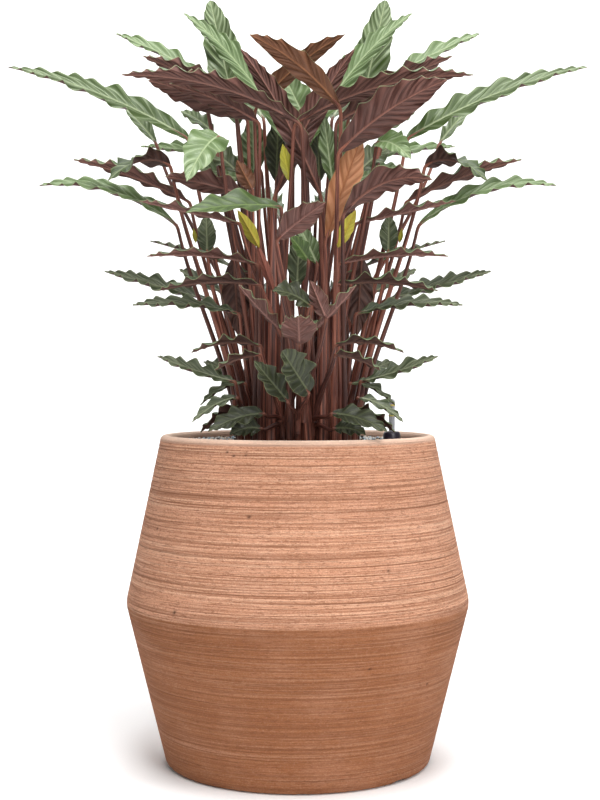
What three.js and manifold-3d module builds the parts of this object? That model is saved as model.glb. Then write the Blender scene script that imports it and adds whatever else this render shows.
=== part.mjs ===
// A calathea in a double-cone planter: ruffled leaves on thin stalks, soil, granulate and a water gauge.
// Millimetres, +Z up. The origin is the centre of the pot's underside, and the front of the pot faces -Y.
import * as THREE from "three";
import { mergeVertices } from "three/addons/utils/BufferGeometryUtils.js";
import Module from "manifold-3d";

const wasm = await Module();
wasm.setup();

// ---- Pot ----
const POT_HEIGHT = 408;
const RIDGE_HEIGHT = 201;
const BASE_RADIUS = 164;
const RIDGE_RADIUS = 214;
const RIM_RADIUS = 170;
const WALL = 13;
const FLOOR = 20;
const BASE_ROUNDING = 7;
const RIDGE_ROUNDING = 3;
const POT_SIDES = 36;
const DRAIN_NOTCH = { width: 24, height: 4, depth: 26 };
const DRAIN_ANGLES = [48, 168, 288]; // degrees from the front, turning to the right
const FRONT_CHIP = { width: 10, height: 2.5, depth: 5 };

// ---- Filling ----
const SOIL_TOP = 396;
const GRANULATE_TOP = 400.5;
const GRANULATE_INNER = 98;
const GRANULATE_BUMP = 1.6;
const GRANULATE_SIDES = 20;
const GAP = 0.3;
const ROOT_DEPTH = 9;
const HOLE_SIDES = 5;
const HOLE_ROOM = 0.6;

// ---- Water gauge ----
const GAUGE = { x: 119, y: 22, foot: 60, collarTop: 411, tubeFoot: 380, tubeTop: 452 };
const GAUGE_SLEEVE_RADIUS = 11;
const GAUGE_TUBE_RADIUS = 3.9;
const GAUGE_TUBE_WALL = 1.1;
const GAUGE_PIN_RADIUS = 1.4;
const GAUGE_SIDES = 12;

// ---- Leaves ----
// A place on the plant is given as it is seen from the front, across and up at the plane of the pot's
// axis, with its depth behind that plane, and is spread along the sight line from an eye this far off and
// this high.
const EYE_DISTANCE = 1875;
const EYE_HEIGHT = 490;
const BLADE_THICKNESS = 1.5;
const RIB_DROP = 0.9;
const STALK_RADIUS = 2.1;
const BUNDLE_FOOT = 6.2; // a foot over this radius is a bundle of sheaths, which stays thick for longer
const TIP_HALF_WIDTH = 0.9;
const FOLD = THREE.MathUtils.degToRad(16);
const WAVE_SHARE = 0.26; // height of the edge's wave, as a share of the half width
// A blade's outline: a skew under 1 brings its widest place nearer the heel, and a fullness under 1 keeps it
// broad towards both ends.
const LANCE = { skew: 0.95, fullness: 0.85 };
const EARLY = { skew: 0.75, fullness: 0.8 };
const LATE = { skew: 1.3, fullness: 0.8 };
const OVAL = { skew: 1, fullness: 0.55 };
const BEND_SHARE = 0.45; // how far along the blade its arch is highest
const STALK_PULL = 0.3; // length of the stalk's end tangents, as a share of its reach
const STALK_STEPS = [0, 0.45, 0.92];
const SHIFT_AT_ROOT = 0.3; // how much of a pair's difference in depth is there at the soil
const LEAF_SIDES = 6;
const STALK_RISE = 40;
const BRANCH_HEIGHT = 30;
const BRANCH_SHARE = 0.3;
const BRANCH_RADIUS = 2.5;

// Each stem: its side (both = a mirrored pair, given as the left-hand one), root on the soil [x, y], foot
// radius, and how much deeper the right-hand copy stands. Each leaf on it: heel and tip [across, up, depth],
// form [arch, width, waves], and lean [at the heel, at the tip], which is how far its top is turned to the
// front, in degrees. A leaf with a negative lean shows its maroon underside to the front. Its outline is a
// lance unless another shape is given.
const STEMS = [
  { name: "long_green", side: "both", root: [-62, 10], foot: 3.5, shift: -22, leaves: [
    { heel: [-135, 776, 20], tip: [-360, 866, 0], form: [12, 38, 5], lean: [50, 28], shape: EARLY },
  ] },
  { name: "upper_green", side: "both", root: [-30, 34], foot: 6, shift: 10, leaves: [
    { heel: [-119, 855, 62], tip: [-226, 907, 75], form: [3, 29, 3], lean: [32, 36] },
    { heel: [-176, 770, 80], tip: [-216, 816, 150], form: [3, 20, 3], lean: [35, 35] },
    { heel: [-75, 735, 48], tip: [-119, 769, 62], form: [3, 32, 3], lean: [55, 55] },
  ] },
  { name: "upper_dark", side: "both", root: [-40, 20], foot: 6, shift: 10, leaves: [
    { heel: [-78, 828, 38], tip: [-192, 879, 40], form: [2, 32, 4], lean: [-35, -30] },
  ] },
  { name: "long_dark", side: "both", root: [27, -9], foot: 3.5, shift: 8, leaves: [
    { heel: [5, 794, -53], tip: [-219, 856, -102], form: [18, 32, 5], lean: [-40, -35] },
  ] },
  { name: "broad_dark", side: "both", root: [-51, 8], foot: 3.5, shift: 5, leaves: [
    { heel: [-62, 801, 15], tip: [-186, 849, -50], form: [6, 54, 4], lean: [-50, -45] },
    { heel: [-47, 796, -20], tip: [-160, 845, -62], form: [6, 32, 3], lean: [-45, -45] },
  ] },
  { name: "mid_green", side: "both", root: [-44, 46], foot: 6, shift: 10, leaves: [
    { heel: [-105, 784, 80], tip: [-146, 811, 130], form: [4, 26, 3], lean: [40, 40] },
    { heel: [-72, 725, 86], tip: [-126, 742, 122], form: [2, 34, 3], lean: [50, 50] },
  ] },
  { name: "curly_dark", side: "both", root: [-70, -14], foot: 3.5, shift: 15, leaves: [
    { heel: [-158, 742, -45], tip: [-236, 725, -85], form: [16, 38, 3], lean: [-75, 50] },
    { heel: [-113, 635, -30], tip: [-114, 680, -30], form: [0, 24, 3], lean: [80, 80], shape: OVAL },
  ] },
  { name: "thin_dark", side: "both", root: [-60, -6], foot: 3, shift: 10, leaves: [
    { heel: [-134, 698, -15], tip: [-279, 751, -40], form: [6, 30, 4], lean: [-25, -15] },
  ] },
  { name: "low_green", side: "both", root: [-73, 0], foot: 3, shift: -6, leaves: [
    { heel: [-150, 669, -10], tip: [-322, 719, -30], form: [19, 34, 5], lean: [30, 25] },
  ] },
  { name: "edge_dark", side: "both", root: [18, -46], foot: 4, shift: 56, leaves: [
    { heel: [-72, 672, -87], tip: [-197, 700, -108], form: [0, 24, 4], lean: [-15, -15] },
  ] },
  { name: "left_green", side: "both", root: [-60, 24], foot: 3, shift: 6, leaves: [
    { heel: [-106, 575, 20], tip: [-241, 612, 0], form: [0, 30, 4], lean: [28, 28] },
    { heel: [-57, 609, 37], tip: [-184, 650, 28], form: [3, 16, 4], lean: [10, 10] },
  ] },
  { name: "scallop_dark", side: "both", root: [-52, -44], foot: 3, shift: 18, leaves: [
    { heel: [-50, 621, -84], tip: [-188, 631, -105], form: [6, 24, 4], lean: [-15, -15] },
  ] },
  { name: "narrow_green", side: "both", root: [-54, -14], foot: 3, shift: 10, leaves: [
    { heel: [-72, 559, -52], tip: [-206, 570, -72], form: [6, 28, 4], lean: [24, 24] },
    { heel: [-65, 472, -42], tip: [-122, 445, -46], form: [8, 18, 3], lean: [20, 20] },
    { heel: [-80, 630, -26], tip: [-74, 531, -36], form: [0, 36, 3], lean: [-88, -88] },
  ] },
  { name: "tooth_dark", side: "both", root: [-46, -52], foot: 3, shift: 26, leaves: [
    { heel: [-47, 595, -95], tip: [-175, 588, -120], form: [7, 26, 4], lean: [-18, -18] },
  ] },
  { name: "behind_green", side: "both", root: [-56, 37], foot: 6, shift: 2, leaves: [
    { heel: [-95, 585, 75], tip: [-148, 614, 110], form: [2, 26, 3], lean: [40, 40] },
    { heel: [-72, 478, 40], tip: [-118, 499, 60], form: [2, 24, 3], lean: [40, 40] },
  ] },
  { name: "low_dark", side: "both", root: [-14, -62], foot: 3, shift: -24, leaves: [
    { heel: [-46, 519, -110], tip: [-133, 511, -130], form: [8, 22, 3], lean: [-18, -18] },
    { heel: [-47, 508, -135], tip: [-104, 489, -160], form: [4, 24, 3], lean: [-25, -25] },
    { heel: [-18, 538, -125], tip: [-73, 595, -138], form: [-2, 22, 3], lean: [-15, -15] },
    { heel: [-42, 434, -105], tip: [-112, 412, -125], form: [5, 28, 3], lean: [45, 45] },
    { heel: [-45, 415, -84], tip: [-85, 408, -100], form: [4, 26, 3], lean: [50, 50] },
  ] },
  { name: "base_green", side: "both", root: [-61, -24], foot: 3, shift: 6, leaves: [
    { heel: [-78, 474, -60], tip: [-175, 506, -80], form: [-2, 26, 4], lean: [31, 31] },
    { heel: [-65, 440, -40], tip: [-122, 411, -60], form: [6, 26, 3], lean: [-30, -30] },
    { heel: [-75, 454, -92], tip: [-132, 424, -108], form: [6, 16, 3], lean: [30, 30] },
  ] },
  { name: "tall_oval", side: "both", root: [-31, 49], foot: 6, shift: 10, leaves: [
    { heel: [-74, 794, 85], tip: [-109, 948, 100], form: [0, 48, 4], lean: [80, 80], shape: OVAL },
    { heel: [-27, 722, 66], tip: [-24, 809, 68], form: [0, 32, 3], lean: [85, 85] },
  ] },
  { name: "tall_narrow", side: "both", root: [10, 28], foot: 6, shift: 20, leaves: [
    { heel: [6, 741, 37], tip: [-142, 932, 50], form: [26, 36, 5], lean: [50, 50] },
  ] },
  { name: "tall_dark", side: "both", root: [34, -52], foot: 9.5, shift: 34, leaves: [
    { heel: [30, 702, -34], tip: [-71, 888, -40], form: [16, 34, 4], lean: [-60, -60] },
  ] },
  { name: "back_high", side: "both", root: [-20, 61], foot: 6, shift: 14, leaves: [
    { heel: [-42, 800, 80], tip: [-78, 838, 215], form: [8, 40, 3], lean: [20, 20] },
    { heel: [-45, 738, 100], tip: [-196, 767, 190], form: [8, 32, 3], lean: [35, 35] },
    { heel: [-54, 731, 95], tip: [-57, 806, 98], form: [0, 36, 3], lean: [80, 80] },
  ] },
  { name: "back_wide", side: "both", root: [-9, 76], foot: 6, shift: 10, leaves: [
    { heel: [-22, 675, 80], tip: [-58, 712, 270], form: [12, 38, 3], lean: [0, 0] },
    { heel: [-35, 575, 85], tip: [-72, 588, 230], form: [10, 36, 3], lean: [0, 0] },
  ] },
  { name: "drooping", side: "left", root: [-48, -32], foot: 3, leaves: [
    { heel: [-97, 780, -90], tip: [-138, 724, -150], form: [10, 50, 3], lean: [50, 60], shape: EARLY },
    { heel: [-64, 706, -60], tip: [-165, 730, -90], form: [3, 34, 3], lean: [-45, -45] },
    { heel: [-56, 712, -32], tip: [-76, 750, -30], form: [0, 22, 3], lean: [-85, -85] },
  ] },
  { name: "front_green", side: "left", root: [-8, -74], foot: 5, leaves: [
    { heel: [-20, 692, -110], tip: [-139, 685, -165], form: [5, 42, 3], lean: [40, 40] },
    { heel: [14, 624, -120], tip: [-10, 656, -140], form: [2, 22, 3], lean: [60, 60] },
    { heel: [25, 620, -60], tip: [1, 672, -60], form: [0, 22, 3], lean: [80, 80] },
  ] },
  { name: "top_brown", side: "right", root: [44, -21], foot: 6, leaves: [
    { heel: [54, 814, -90], tip: [-60, 906, -165], form: [11, 31, 4], lean: [-60, -60] },
    { heel: [98, 772, -50], tip: [141, 752, -96], form: [8, 36, 3], lean: [60, 60], shape: EARLY },
  ] },
  { name: "top_brown_back", side: "left", root: [-38, -19], foot: 3, leaves: [
    { heel: [-54, 812, 24], tip: [59, 906, -20], form: [11, 28, 4], lean: [-55, -55] },
  ] },
  { name: "great_dark", side: "right", root: [43, -69], foot: 3.5, leaves: [
    { heel: [50, 759, -135], tip: [186, 850, -180], form: [10, 50, 4], lean: [-60, -60] },
  ] },
  { name: "young_brown", side: "right", root: [29, -75], foot: 6.5, leaves: [
    { heel: [34, 648, -88], tip: [80, 779, -97], form: [2, 36, 2], lean: [-90, -90], shape: LATE },
  ] },
  { name: "arched_dark", side: "right", root: [57, -66], foot: 3, leaves: [
    { heel: [56, 682, -148], tip: [168, 726, -190], form: [18, 36, 4], lean: [-50, -50] },
  ] },
  { name: "inner_green", side: "centre", root: [18, 10], foot: 6, leaves: [
    { heel: [44, 719, 12], tip: [32, 809, 14], form: [0, 24, 3], lean: [90, 90] },
    { heel: [-1, 590, -10], tip: [2, 662, 0], form: [0, 28, 3], lean: [85, 85] },
    { heel: [10, 800, 98], tip: [-19, 860, 112], form: [0, 44, 3], lean: [80, 80], shape: EARLY },
  ] },
  { name: "front_mauve", side: "centre", root: [12, -82], foot: 6.5, leaves: [
    { heel: [-26, 651, -185], tip: [35, 698, -225], form: [2, 33, 4], lean: [-60, -60] },
    { heel: [18, 567, -174], tip: [-31, 588, -198], form: [5, 31, 3], lean: [50, 50] },
    { heel: [36, 552, -172], tip: [16, 600, -182], form: [0, 22, 3], lean: [-70, -70] },
  ] },
  { name: "front_fan", side: "centre", root: [0, -85], foot: 3, leaves: [
    { heel: [2, 521, -185], tip: [1, 556, -240], form: [4, 44, 4], lean: [-70, -70], shape: EARLY },
    { heel: [14, 460, -160], tip: [-19, 512, -205], form: [0, 42, 3], lean: [60, 60], shape: OVAL },
    { heel: [-12, 449, -150], tip: [-54, 500, -170], form: [0, 30, 3], lean: [50, 50] },
  ] },
];

// ---- Materials ----
const finish = (color, roughness, metalness = 0) =>
  new THREE.MeshStandardMaterial({ color, roughness, metalness });
const POT_FINISH = finish(0xc08a68, 0.85);
const SOIL_FINISH = finish(0x2a211b, 1);
const GRANULATE_FINISH = finish(0xb9b4ac, 0.8);
const GREEN_FINISH = finish(0x7d9c78, 0.5);
const MAROON_FINISH = finish(0x4f3330, 0.55);
const SLEEVE_FINISH = finish(0x2a2430, 0.45);
const TUBE_FINISH = finish(0xd6d6da, 0.15);
const PIN_FINISH = finish(0xd9c46a, 0.4);

// ---- Solids: joining and cutting ----
function toSolid(geometry) {
  const bare = geometry.clone();
  bare.deleteAttribute("normal");
  bare.deleteAttribute("uv");
  const merged = mergeVertices(bare, 1e-4);
  return new wasm.Manifold(new wasm.Mesh({
    numProp: 3,
    vertProperties: new Float32Array(merged.attributes.position.array),
    triVerts: new Uint32Array(merged.index.array),
  }));
}

function toGeometry(solid) {
  const { vertProperties, triVerts } = solid.getMesh();
  const geometry = new THREE.BufferGeometry();
  geometry.setAttribute("position", new THREE.BufferAttribute(vertProperties, 3));
  geometry.setIndex(new THREE.BufferAttribute(triVerts, 1));
  geometry.computeVertexNormals();
  return geometry;
}

const object = new THREE.Group();

function addPart(name, geometry, material) {
  const mesh = new THREE.Mesh(geometry, material);
  mesh.name = name;
  object.add(mesh);
}

// A lathe turned about +Z from a profile of [radius, height] points, given outwards and upwards.
function turned(profile, sides) {
  const points = profile.map(([radius, height]) => new THREE.Vector2(radius, height));
  return new THREE.LatheGeometry(points, sides).rotateX(Math.PI / 2);
}

function prism(radius, sides, bottom, top, x, y) {
  return new THREE.CylinderGeometry(radius, radius, top - bottom, sides)
    .rotateX(Math.PI / 2)
    .translate(x, y, (top + bottom) / 2);
}

// ---- Pot ----
// Radius of the outer face at a height, along the two straight cones.
function outerRadius(z) {
  return z < RIDGE_HEIGHT
    ? THREE.MathUtils.mapLinear(z, 0, RIDGE_HEIGHT, BASE_RADIUS, RIDGE_RADIUS)
    : THREE.MathUtils.mapLinear(z, RIDGE_HEIGHT, POT_HEIGHT, RIDGE_RADIUS, RIM_RADIUS);
}

const innerRadius = (z) => outerRadius(z) - WALL;

function makePot() {
  const lip = WALL / 2;
  const lipCentre = [outerRadius(POT_HEIGHT - lip) - lip, POT_HEIGHT - lip];
  const rim = [0, 45, 90, 135, 180].map((degrees) => {
    const angle = THREE.MathUtils.degToRad(degrees);
    return [lipCentre[0] + lip * Math.cos(angle), lipCentre[1] + lip * Math.sin(angle)];
  });
  const profile = [
    [0, 0],
    [BASE_RADIUS - BASE_ROUNDING, 0],
    [BASE_RADIUS - BASE_ROUNDING / 5, BASE_ROUNDING / 3],
    [outerRadius(BASE_ROUNDING), BASE_ROUNDING],
    [outerRadius(RIDGE_HEIGHT - RIDGE_ROUNDING), RIDGE_HEIGHT - RIDGE_ROUNDING],
    [outerRadius(RIDGE_HEIGHT + RIDGE_ROUNDING), RIDGE_HEIGHT + RIDGE_ROUNDING],
    ...rim,
    [innerRadius(RIDGE_HEIGHT), RIDGE_HEIGHT],
    [innerRadius(FLOOR), FLOOR],
    [0, FLOOR],
  ];
  let pot = toSolid(turned(profile, POT_SIDES));
  const notch = (size, degrees) => {
    const box = new THREE.BoxGeometry(size.width, size.depth * 2, size.height * 2);
    return toSolid(box.translate(0, -BASE_RADIUS, 0).rotateZ(THREE.MathUtils.degToRad(degrees)));
  };
  for (const degrees of DRAIN_ANGLES) {
    pot = pot.subtract(notch(DRAIN_NOTCH, degrees));
  }
  return toGeometry(pot.subtract(notch(FRONT_CHIP, 2)));
}

// ---- Leaves ----
// The real place of a point that is seen at [across, up] with the given depth.
function seen([across, up, depth]) {
  const spread = 1 + depth / EYE_DISTANCE;
  return new THREE.Vector3(across * spread, depth, EYE_HEIGHT + (up - EYE_HEIGHT) * spread);
}

// Half width along the blade, from 0 at the heel to 1 at its widest and back to 0 at the tip.
const bladeProfile = (u, { skew, fullness }) => Math.sin(Math.PI * u ** skew) ** fullness;

const turnedFrom = (vector, tangent) =>
  vector.clone().addScaledVector(tangent, -vector.dot(tangent)).normalize();

function leafCurves(leaf, root) {
  const heel = seen(leaf.heel);
  const tip = seen(leaf.tip);
  const bend = heel.clone().lerp(tip, BEND_SHARE);
  bend.z += 2 * leaf.form[0];
  const reach = heel.distanceTo(root);
  const approach = heel.clone().sub(root).normalize().add(new THREE.Vector3(0, 0, 0.5)).normalize();
  const stalk = new THREE.CubicBezierCurve3(
    root,
    root.clone().add(new THREE.Vector3(0, 0, Math.max(reach * STALK_PULL, STALK_RISE))),
    heel.clone().addScaledVector(approach, -reach * STALK_PULL),
    heel,
  );
  const blade = new THREE.QuadraticBezierCurve3(heel, bend, tip);
  return { stalk, blade };
}

// One ring of six points: left edge, rib and right edge on top, then the same three underneath.
function bladeRing(centre, normal, side, half, waveLeft, waveRight) {
  const at = (across, up) =>
    centre.clone().addScaledVector(side, across).addScaledVector(normal, up);
  const out = half * Math.cos(FOLD);
  const lift = half * Math.sin(FOLD);
  return [
    at(-out, lift + waveLeft),
    at(0, 0),
    at(out, lift + waveRight),
    at(out, lift + waveRight - BLADE_THICKNESS),
    at(0, -BLADE_THICKNESS - RIB_DROP),
    at(-out, lift + waveLeft - BLADE_THICKNESS),
  ];
}

function stalkRing(centre, normal, side, radius) {
  return [150, 90, 30, -30, -90, -150].map((degrees) => {
    const angle = THREE.MathUtils.degToRad(degrees);
    return centre.clone()
      .addScaledVector(side, radius * Math.cos(angle))
      .addScaledVector(normal, radius * Math.sin(angle));
  });
}

function leafRings(leaf, root, foot) {
  const [, width, waves] = leaf.form;
  const shape = leaf.shape ?? LANCE;
  const { stalk, blade } = leafCurves(leaf, root);
  const rings = [];
  const stations = 2 * waves;
  let heelNormal = null;
  for (let k = 0; k <= stations; k += 1) {
    const u = k === stations ? 1 : (k + 0.5) / stations;
    const tangent = blade.getTangent(u);
    const lean = THREE.MathUtils.degToRad(THREE.MathUtils.lerp(leaf.lean[0], leaf.lean[1], u));
    const normal = turnedFrom(new THREE.Vector3(0, -Math.sin(lean), Math.cos(lean)), tangent);
    const side = tangent.clone().cross(normal);
    const half = k === stations ? TIP_HALF_WIDTH : (width / 2) * bladeProfile(u, shape);
    const wave = k === stations ? 0 : half * WAVE_SHARE * Math.sin(2 * Math.PI * waves * u);
    rings.push(bladeRing(blade.getPoint(u), normal, side, half, wave, -wave));
    heelNormal ??= normal;
  }
  // The stalk is turned the way the blade's heel is, carried down the stalk from ring to ring.
  let normal = heelNormal;
  for (const s of STALK_STEPS.toReversed()) {
    const tangent = stalk.getTangent(s);
    normal = turnedFrom(normal, tangent);
    const side = tangent.clone().cross(normal);
    const taper = foot > BUNDLE_FOOT ? 3 : 1;
    const radius = THREE.MathUtils.lerp(foot, STALK_RADIUS, s ** taper);
    rings.unshift(stalkRing(stalk.getPoint(s), normal, side, radius));
  }
  return rings;
}

// Skins the rings. Both faces of a strip are split along the same diagonal.
function skin(rings) {
  const position = rings.flat().flatMap((point) => point.toArray());
  const index = [];
  const last = rings.length - 1;
  for (let k = 0; k < last; k += 1) {
    for (let i = 0; i < LEAF_SIDES; i += 1) {
      const j = (i + 1) % LEAF_SIDES;
      const [a, b] = [k * LEAF_SIDES + i, k * LEAF_SIDES + j];
      const [c, d] = [a + LEAF_SIDES, b + LEAF_SIDES];
      const fromFirst = i === 0 || i === 3;
      index.push(...(fromFirst ? [a, b, d, a, d, c] : [a, b, c, b, d, c]));
    }
  }
  for (let i = 1; i < LEAF_SIDES - 1; i += 1) {
    index.push(0, i + 1, i);
    const end = last * LEAF_SIDES;
    index.push(end, end + i, end + i + 1);
  }
  const geometry = new THREE.BufferGeometry();
  geometry.setAttribute("position", new THREE.BufferAttribute(new Float32Array(position), 3));
  geometry.setIndex(index);
  return geometry;
}

function enclosedVolume(geometry) {
  const { array } = geometry.attributes.position;
  const at = (i) => new THREE.Vector3().fromArray(array, 3 * i);
  let volume = 0;
  for (let i = 0; i < geometry.index.count; i += 3) {
    const [a, b, c] = [0, 1, 2].map((n) => at(geometry.index.array[i + n]));
    volume += a.dot(b.cross(c)) / 6;
  }
  return volume;
}

function leafGeometry(leaf, root, foot) {
  const geometry = skin(leafRings(leaf, root, foot));
  if (enclosedVolume(geometry) < 0) {
    geometry.index.array.reverse();
  }
  return geometry;
}

// The right-hand copy of a left-hand leaf, set deeper or shallower by the stem's shift.
const flipped = ([across, up, depth], shift) => [-across, up, depth + shift];

function rightHand(stem) {
  return {
    ...stem,
    root: [-stem.root[0], stem.root[1] + stem.shift * SHIFT_AT_ROOT],
    leaves: stem.leaves.map((leaf) => ({
      ...leaf,
      heel: flipped(leaf.heel, stem.shift),
      tip: flipped(leaf.tip, stem.shift),
    })),
  };
}

const stems = STEMS.flatMap((stem) =>
  stem.side === "both"
    ? [{ ...stem, side: "left" }, { ...rightHand(stem), side: "right" }]
    : [stem]);

const rootOf = (stem) => new THREE.Vector3(...stem.root, SOIL_TOP - ROOT_DEPTH);

// The straight lowest length of a stem's first stalk, which its other stalks grow from.
function footOf(stem) {
  const root = rootOf(stem);
  const { stalk } = leafCurves(stem.leaves[0], root);
  return new THREE.LineCurve3(root, stalk.getPoint(STALK_STEPS[1]));
}

// Where a later leaf's stalk leaves the first one: low down, and lower still where the leaf itself hangs low.
function branchPoint(stem, leaf) {
  const foot = footOf(stem);
  const rise = Math.min(BRANCH_HEIGHT, (seen(leaf.heel).z - SOIL_TOP) * BRANCH_SHARE);
  const length = foot.v2.z - foot.v1.z;
  return foot.getPoint((ROOT_DEPTH + rise) / length);
}

function makeStem(stem) {
  const [first, ...others] = stem.leaves;
  let solid = toSolid(leafGeometry(first, rootOf(stem), stem.foot));
  for (const leaf of others) {
    const geometry = leafGeometry(leaf, branchPoint(stem, leaf), BRANCH_RADIUS);
    solid = solid.add(toSolid(geometry));
  }
  return toGeometry(solid);
}

// ---- Soil, granulate and gauge ----
function gaugeWell(bottom, top) {
  return toSolid(prism(GAUGE_SLEEVE_RADIUS + 3 * GAP, GAUGE_SIDES, bottom, top, GAUGE.x, GAUGE.y));
}

// A plain upright hole, wide enough for the stalk to lean in it.
function stemHole(stem) {
  const foot = footOf(stem);
  const middle = foot.getPoint(ROOT_DEPTH / 2 / (foot.v2.z - foot.v1.z));
  const drift = Math.hypot(middle.x - foot.v1.x, middle.y - foot.v1.y);
  const radius = (stem.foot + drift + HOLE_ROOM) / Math.cos(Math.PI / HOLE_SIDES);
  const bottom = SOIL_TOP - ROOT_DEPTH - GAP;
  return toSolid(prism(radius, HOLE_SIDES, bottom, SOIL_TOP + 5, middle.x, middle.y));
}

function makeSoil() {
  const profile = [
    [0, FLOOR + GAP],
    [innerRadius(FLOOR + GAP) - 2 * GAP, FLOOR + GAP],
    [innerRadius(RIDGE_HEIGHT) - 2 * GAP, RIDGE_HEIGHT],
    [innerRadius(SOIL_TOP) - 2 * GAP, SOIL_TOP],
    [0, SOIL_TOP],
  ];
  let soil = toSolid(turned(profile, POT_SIDES)).subtract(gaugeWell(GAUGE.foot - GAP, SOIL_TOP + 5));
  for (const stem of stems) {
    soil = soil.subtract(stemHole(stem));
  }
  return toGeometry(soil);
}

// A ring of loose granules round the plant, as one body with an uneven top.
function makeGranulate() {
  const outer = innerRadius(GRANULATE_TOP) - 3 * GAP;
  const top = [0.86, 0.5, 0.12].map((share) => THREE.MathUtils.lerp(GRANULATE_INNER, outer, share));
  const profile = [
    [GRANULATE_INNER, SOIL_TOP + GAP],
    [outer, SOIL_TOP + GAP],
    [outer, GRANULATE_TOP - 1],
    ...top.map((radius) => [radius, GRANULATE_TOP]),
    [GRANULATE_INNER, SOIL_TOP + GAP],
  ];
  const geometry = turned(profile, GRANULATE_SIDES);
  const position = geometry.attributes.position;
  for (let i = 0; i < position.count; i += 1) {
    const [x, y, z] = [position.getX(i), position.getY(i), position.getZ(i)];
    if (z > GRANULATE_TOP - 0.1) {
      const bump = (Math.sin(x * 0.61) + Math.cos(y * 0.53 + x * 0.2)) / 2;
      position.setZ(i, z + GRANULATE_BUMP * bump);
    }
  }
  return toGeometry(toSolid(geometry).subtract(gaugeWell(SOIL_TOP - 5, GRANULATE_TOP + 5)));
}

function makeSleeve() {
  const bore = GAUGE_TUBE_RADIUS + GAP;
  const profile = [
    [bore, GAUGE.foot],
    [GAUGE_SLEEVE_RADIUS - 1, GAUGE.foot],
    [GAUGE_SLEEVE_RADIUS - 1, SOIL_TOP],
    [GAUGE_SLEEVE_RADIUS, SOIL_TOP],
    [GAUGE_SLEEVE_RADIUS, GAUGE.collarTop - 2],
    [GAUGE_SLEEVE_RADIUS - 2, GAUGE.collarTop],
    [bore, GAUGE.collarTop],
    [bore, GAUGE.foot],
  ];
  return turned(profile, GAUGE_SIDES).translate(GAUGE.x, GAUGE.y, 0);
}

function makeTube() {
  const inner = GAUGE_TUBE_RADIUS - GAUGE_TUBE_WALL;
  const profile = [
    [inner, GAUGE.tubeFoot],
    [GAUGE_TUBE_RADIUS, GAUGE.tubeFoot],
    [GAUGE_TUBE_RADIUS, GAUGE.tubeTop - 2],
    [GAUGE_TUBE_RADIUS * 0.6, GAUGE.tubeTop],
    [0, GAUGE.tubeTop],
    [0, GAUGE.tubeTop - 3],
    [inner, GAUGE.tubeTop - 3],
    [inner, GAUGE.tubeFoot],
  ];
  return turned(profile, GAUGE_SIDES).translate(GAUGE.x, GAUGE.y, 0);
}

// The float's pin, free to rise inside the tube.
function makePin() {
  return prism(GAUGE_PIN_RADIUS, 8, GAUGE.tubeFoot + 4, GAUGE.tubeTop - 5, GAUGE.x, GAUGE.y);
}

addPart("pot", makePot(), POT_FINISH);
addPart("soil", makeSoil(), SOIL_FINISH);
addPart("granulate", makeGranulate(), GRANULATE_FINISH);
addPart("gauge_sleeve", makeSleeve(), SLEEVE_FINISH);
addPart("gauge_tube", makeTube(), TUBE_FINISH);
addPart("gauge_pin", makePin(), PIN_FINISH);
for (const stem of stems) {
  const leaning = stem.leaves[0].lean[0];
  addPart(`leaf_${stem.side}_${stem.name}`, makeStem(stem), leaning > 0 ? GREEN_FINISH : MAROON_FINISH);
}

export default object;
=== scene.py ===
import math
from collections import namedtuple

import bpy
import numpy as np
from bpy.props import FloatProperty, FloatVectorProperty, IntProperty, PointerProperty
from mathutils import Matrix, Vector


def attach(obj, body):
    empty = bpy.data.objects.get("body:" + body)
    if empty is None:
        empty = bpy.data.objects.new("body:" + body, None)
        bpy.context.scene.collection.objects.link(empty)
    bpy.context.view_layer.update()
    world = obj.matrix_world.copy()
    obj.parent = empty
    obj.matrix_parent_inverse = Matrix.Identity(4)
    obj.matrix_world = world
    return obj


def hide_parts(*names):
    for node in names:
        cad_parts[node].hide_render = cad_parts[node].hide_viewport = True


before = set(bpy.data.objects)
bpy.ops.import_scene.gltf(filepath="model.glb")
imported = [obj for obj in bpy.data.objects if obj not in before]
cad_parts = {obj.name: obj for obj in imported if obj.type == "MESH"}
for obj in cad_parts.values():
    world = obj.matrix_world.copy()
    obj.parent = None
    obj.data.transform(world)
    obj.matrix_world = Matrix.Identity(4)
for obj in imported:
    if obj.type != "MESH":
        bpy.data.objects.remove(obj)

bl_info = {
    "name": "Potted calathea",
    "version": (1, 0, 0),
    "blender": (4, 5, 0),
    "location": "3D View > Sidebar > Calathea",
    "description": "Ruffled calathea leaves, their stalks, a combed double-cone planter and its water gauge",
    "category": "Add Mesh",
}

SEED = 20260
MM = 0.001
FULL_TURN = 2 * math.pi

# ---- The plant, in the millimetres that its solids are given in ----
EYE_DISTANCE = 1875
EYE_HEIGHT = 490
SOIL_TOP = 396
ROOT_DEPTH = 9
STALK_RADIUS = 2.1
FOLD = math.radians(16)  # how much each half of a blade rises from its midrib
WAVE_SHARE = 0.26  # height of the broad waves, as a share of the half width
BEND_SHARE = 0.45
STALK_PULL = 0.3  # length of a stalk's handles, as a share of its reach
STALK_RISE = 40
STALK_FIRST_STEP = 0.45
KNEE_START = 0.965
KNEE_END = 0.03
SHIFT_AT_ROOT = 0.3  # how much of the right-hand copy's shift its root has
BRANCH_HEIGHT = 30
BRANCH_SHARE = 0.3
BRANCH_RADIUS = 2.5

# A blade's outline: a skew under 1 brings its widest place nearer the heel, and a fullness under 1 keeps it broad
# towards both ends.
OUTLINES = {"lance": (0.95, 0.85), "early": (0.75, 0.8), "late": (1.3, 0.8), "oval": (1.0, 0.55)}

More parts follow.
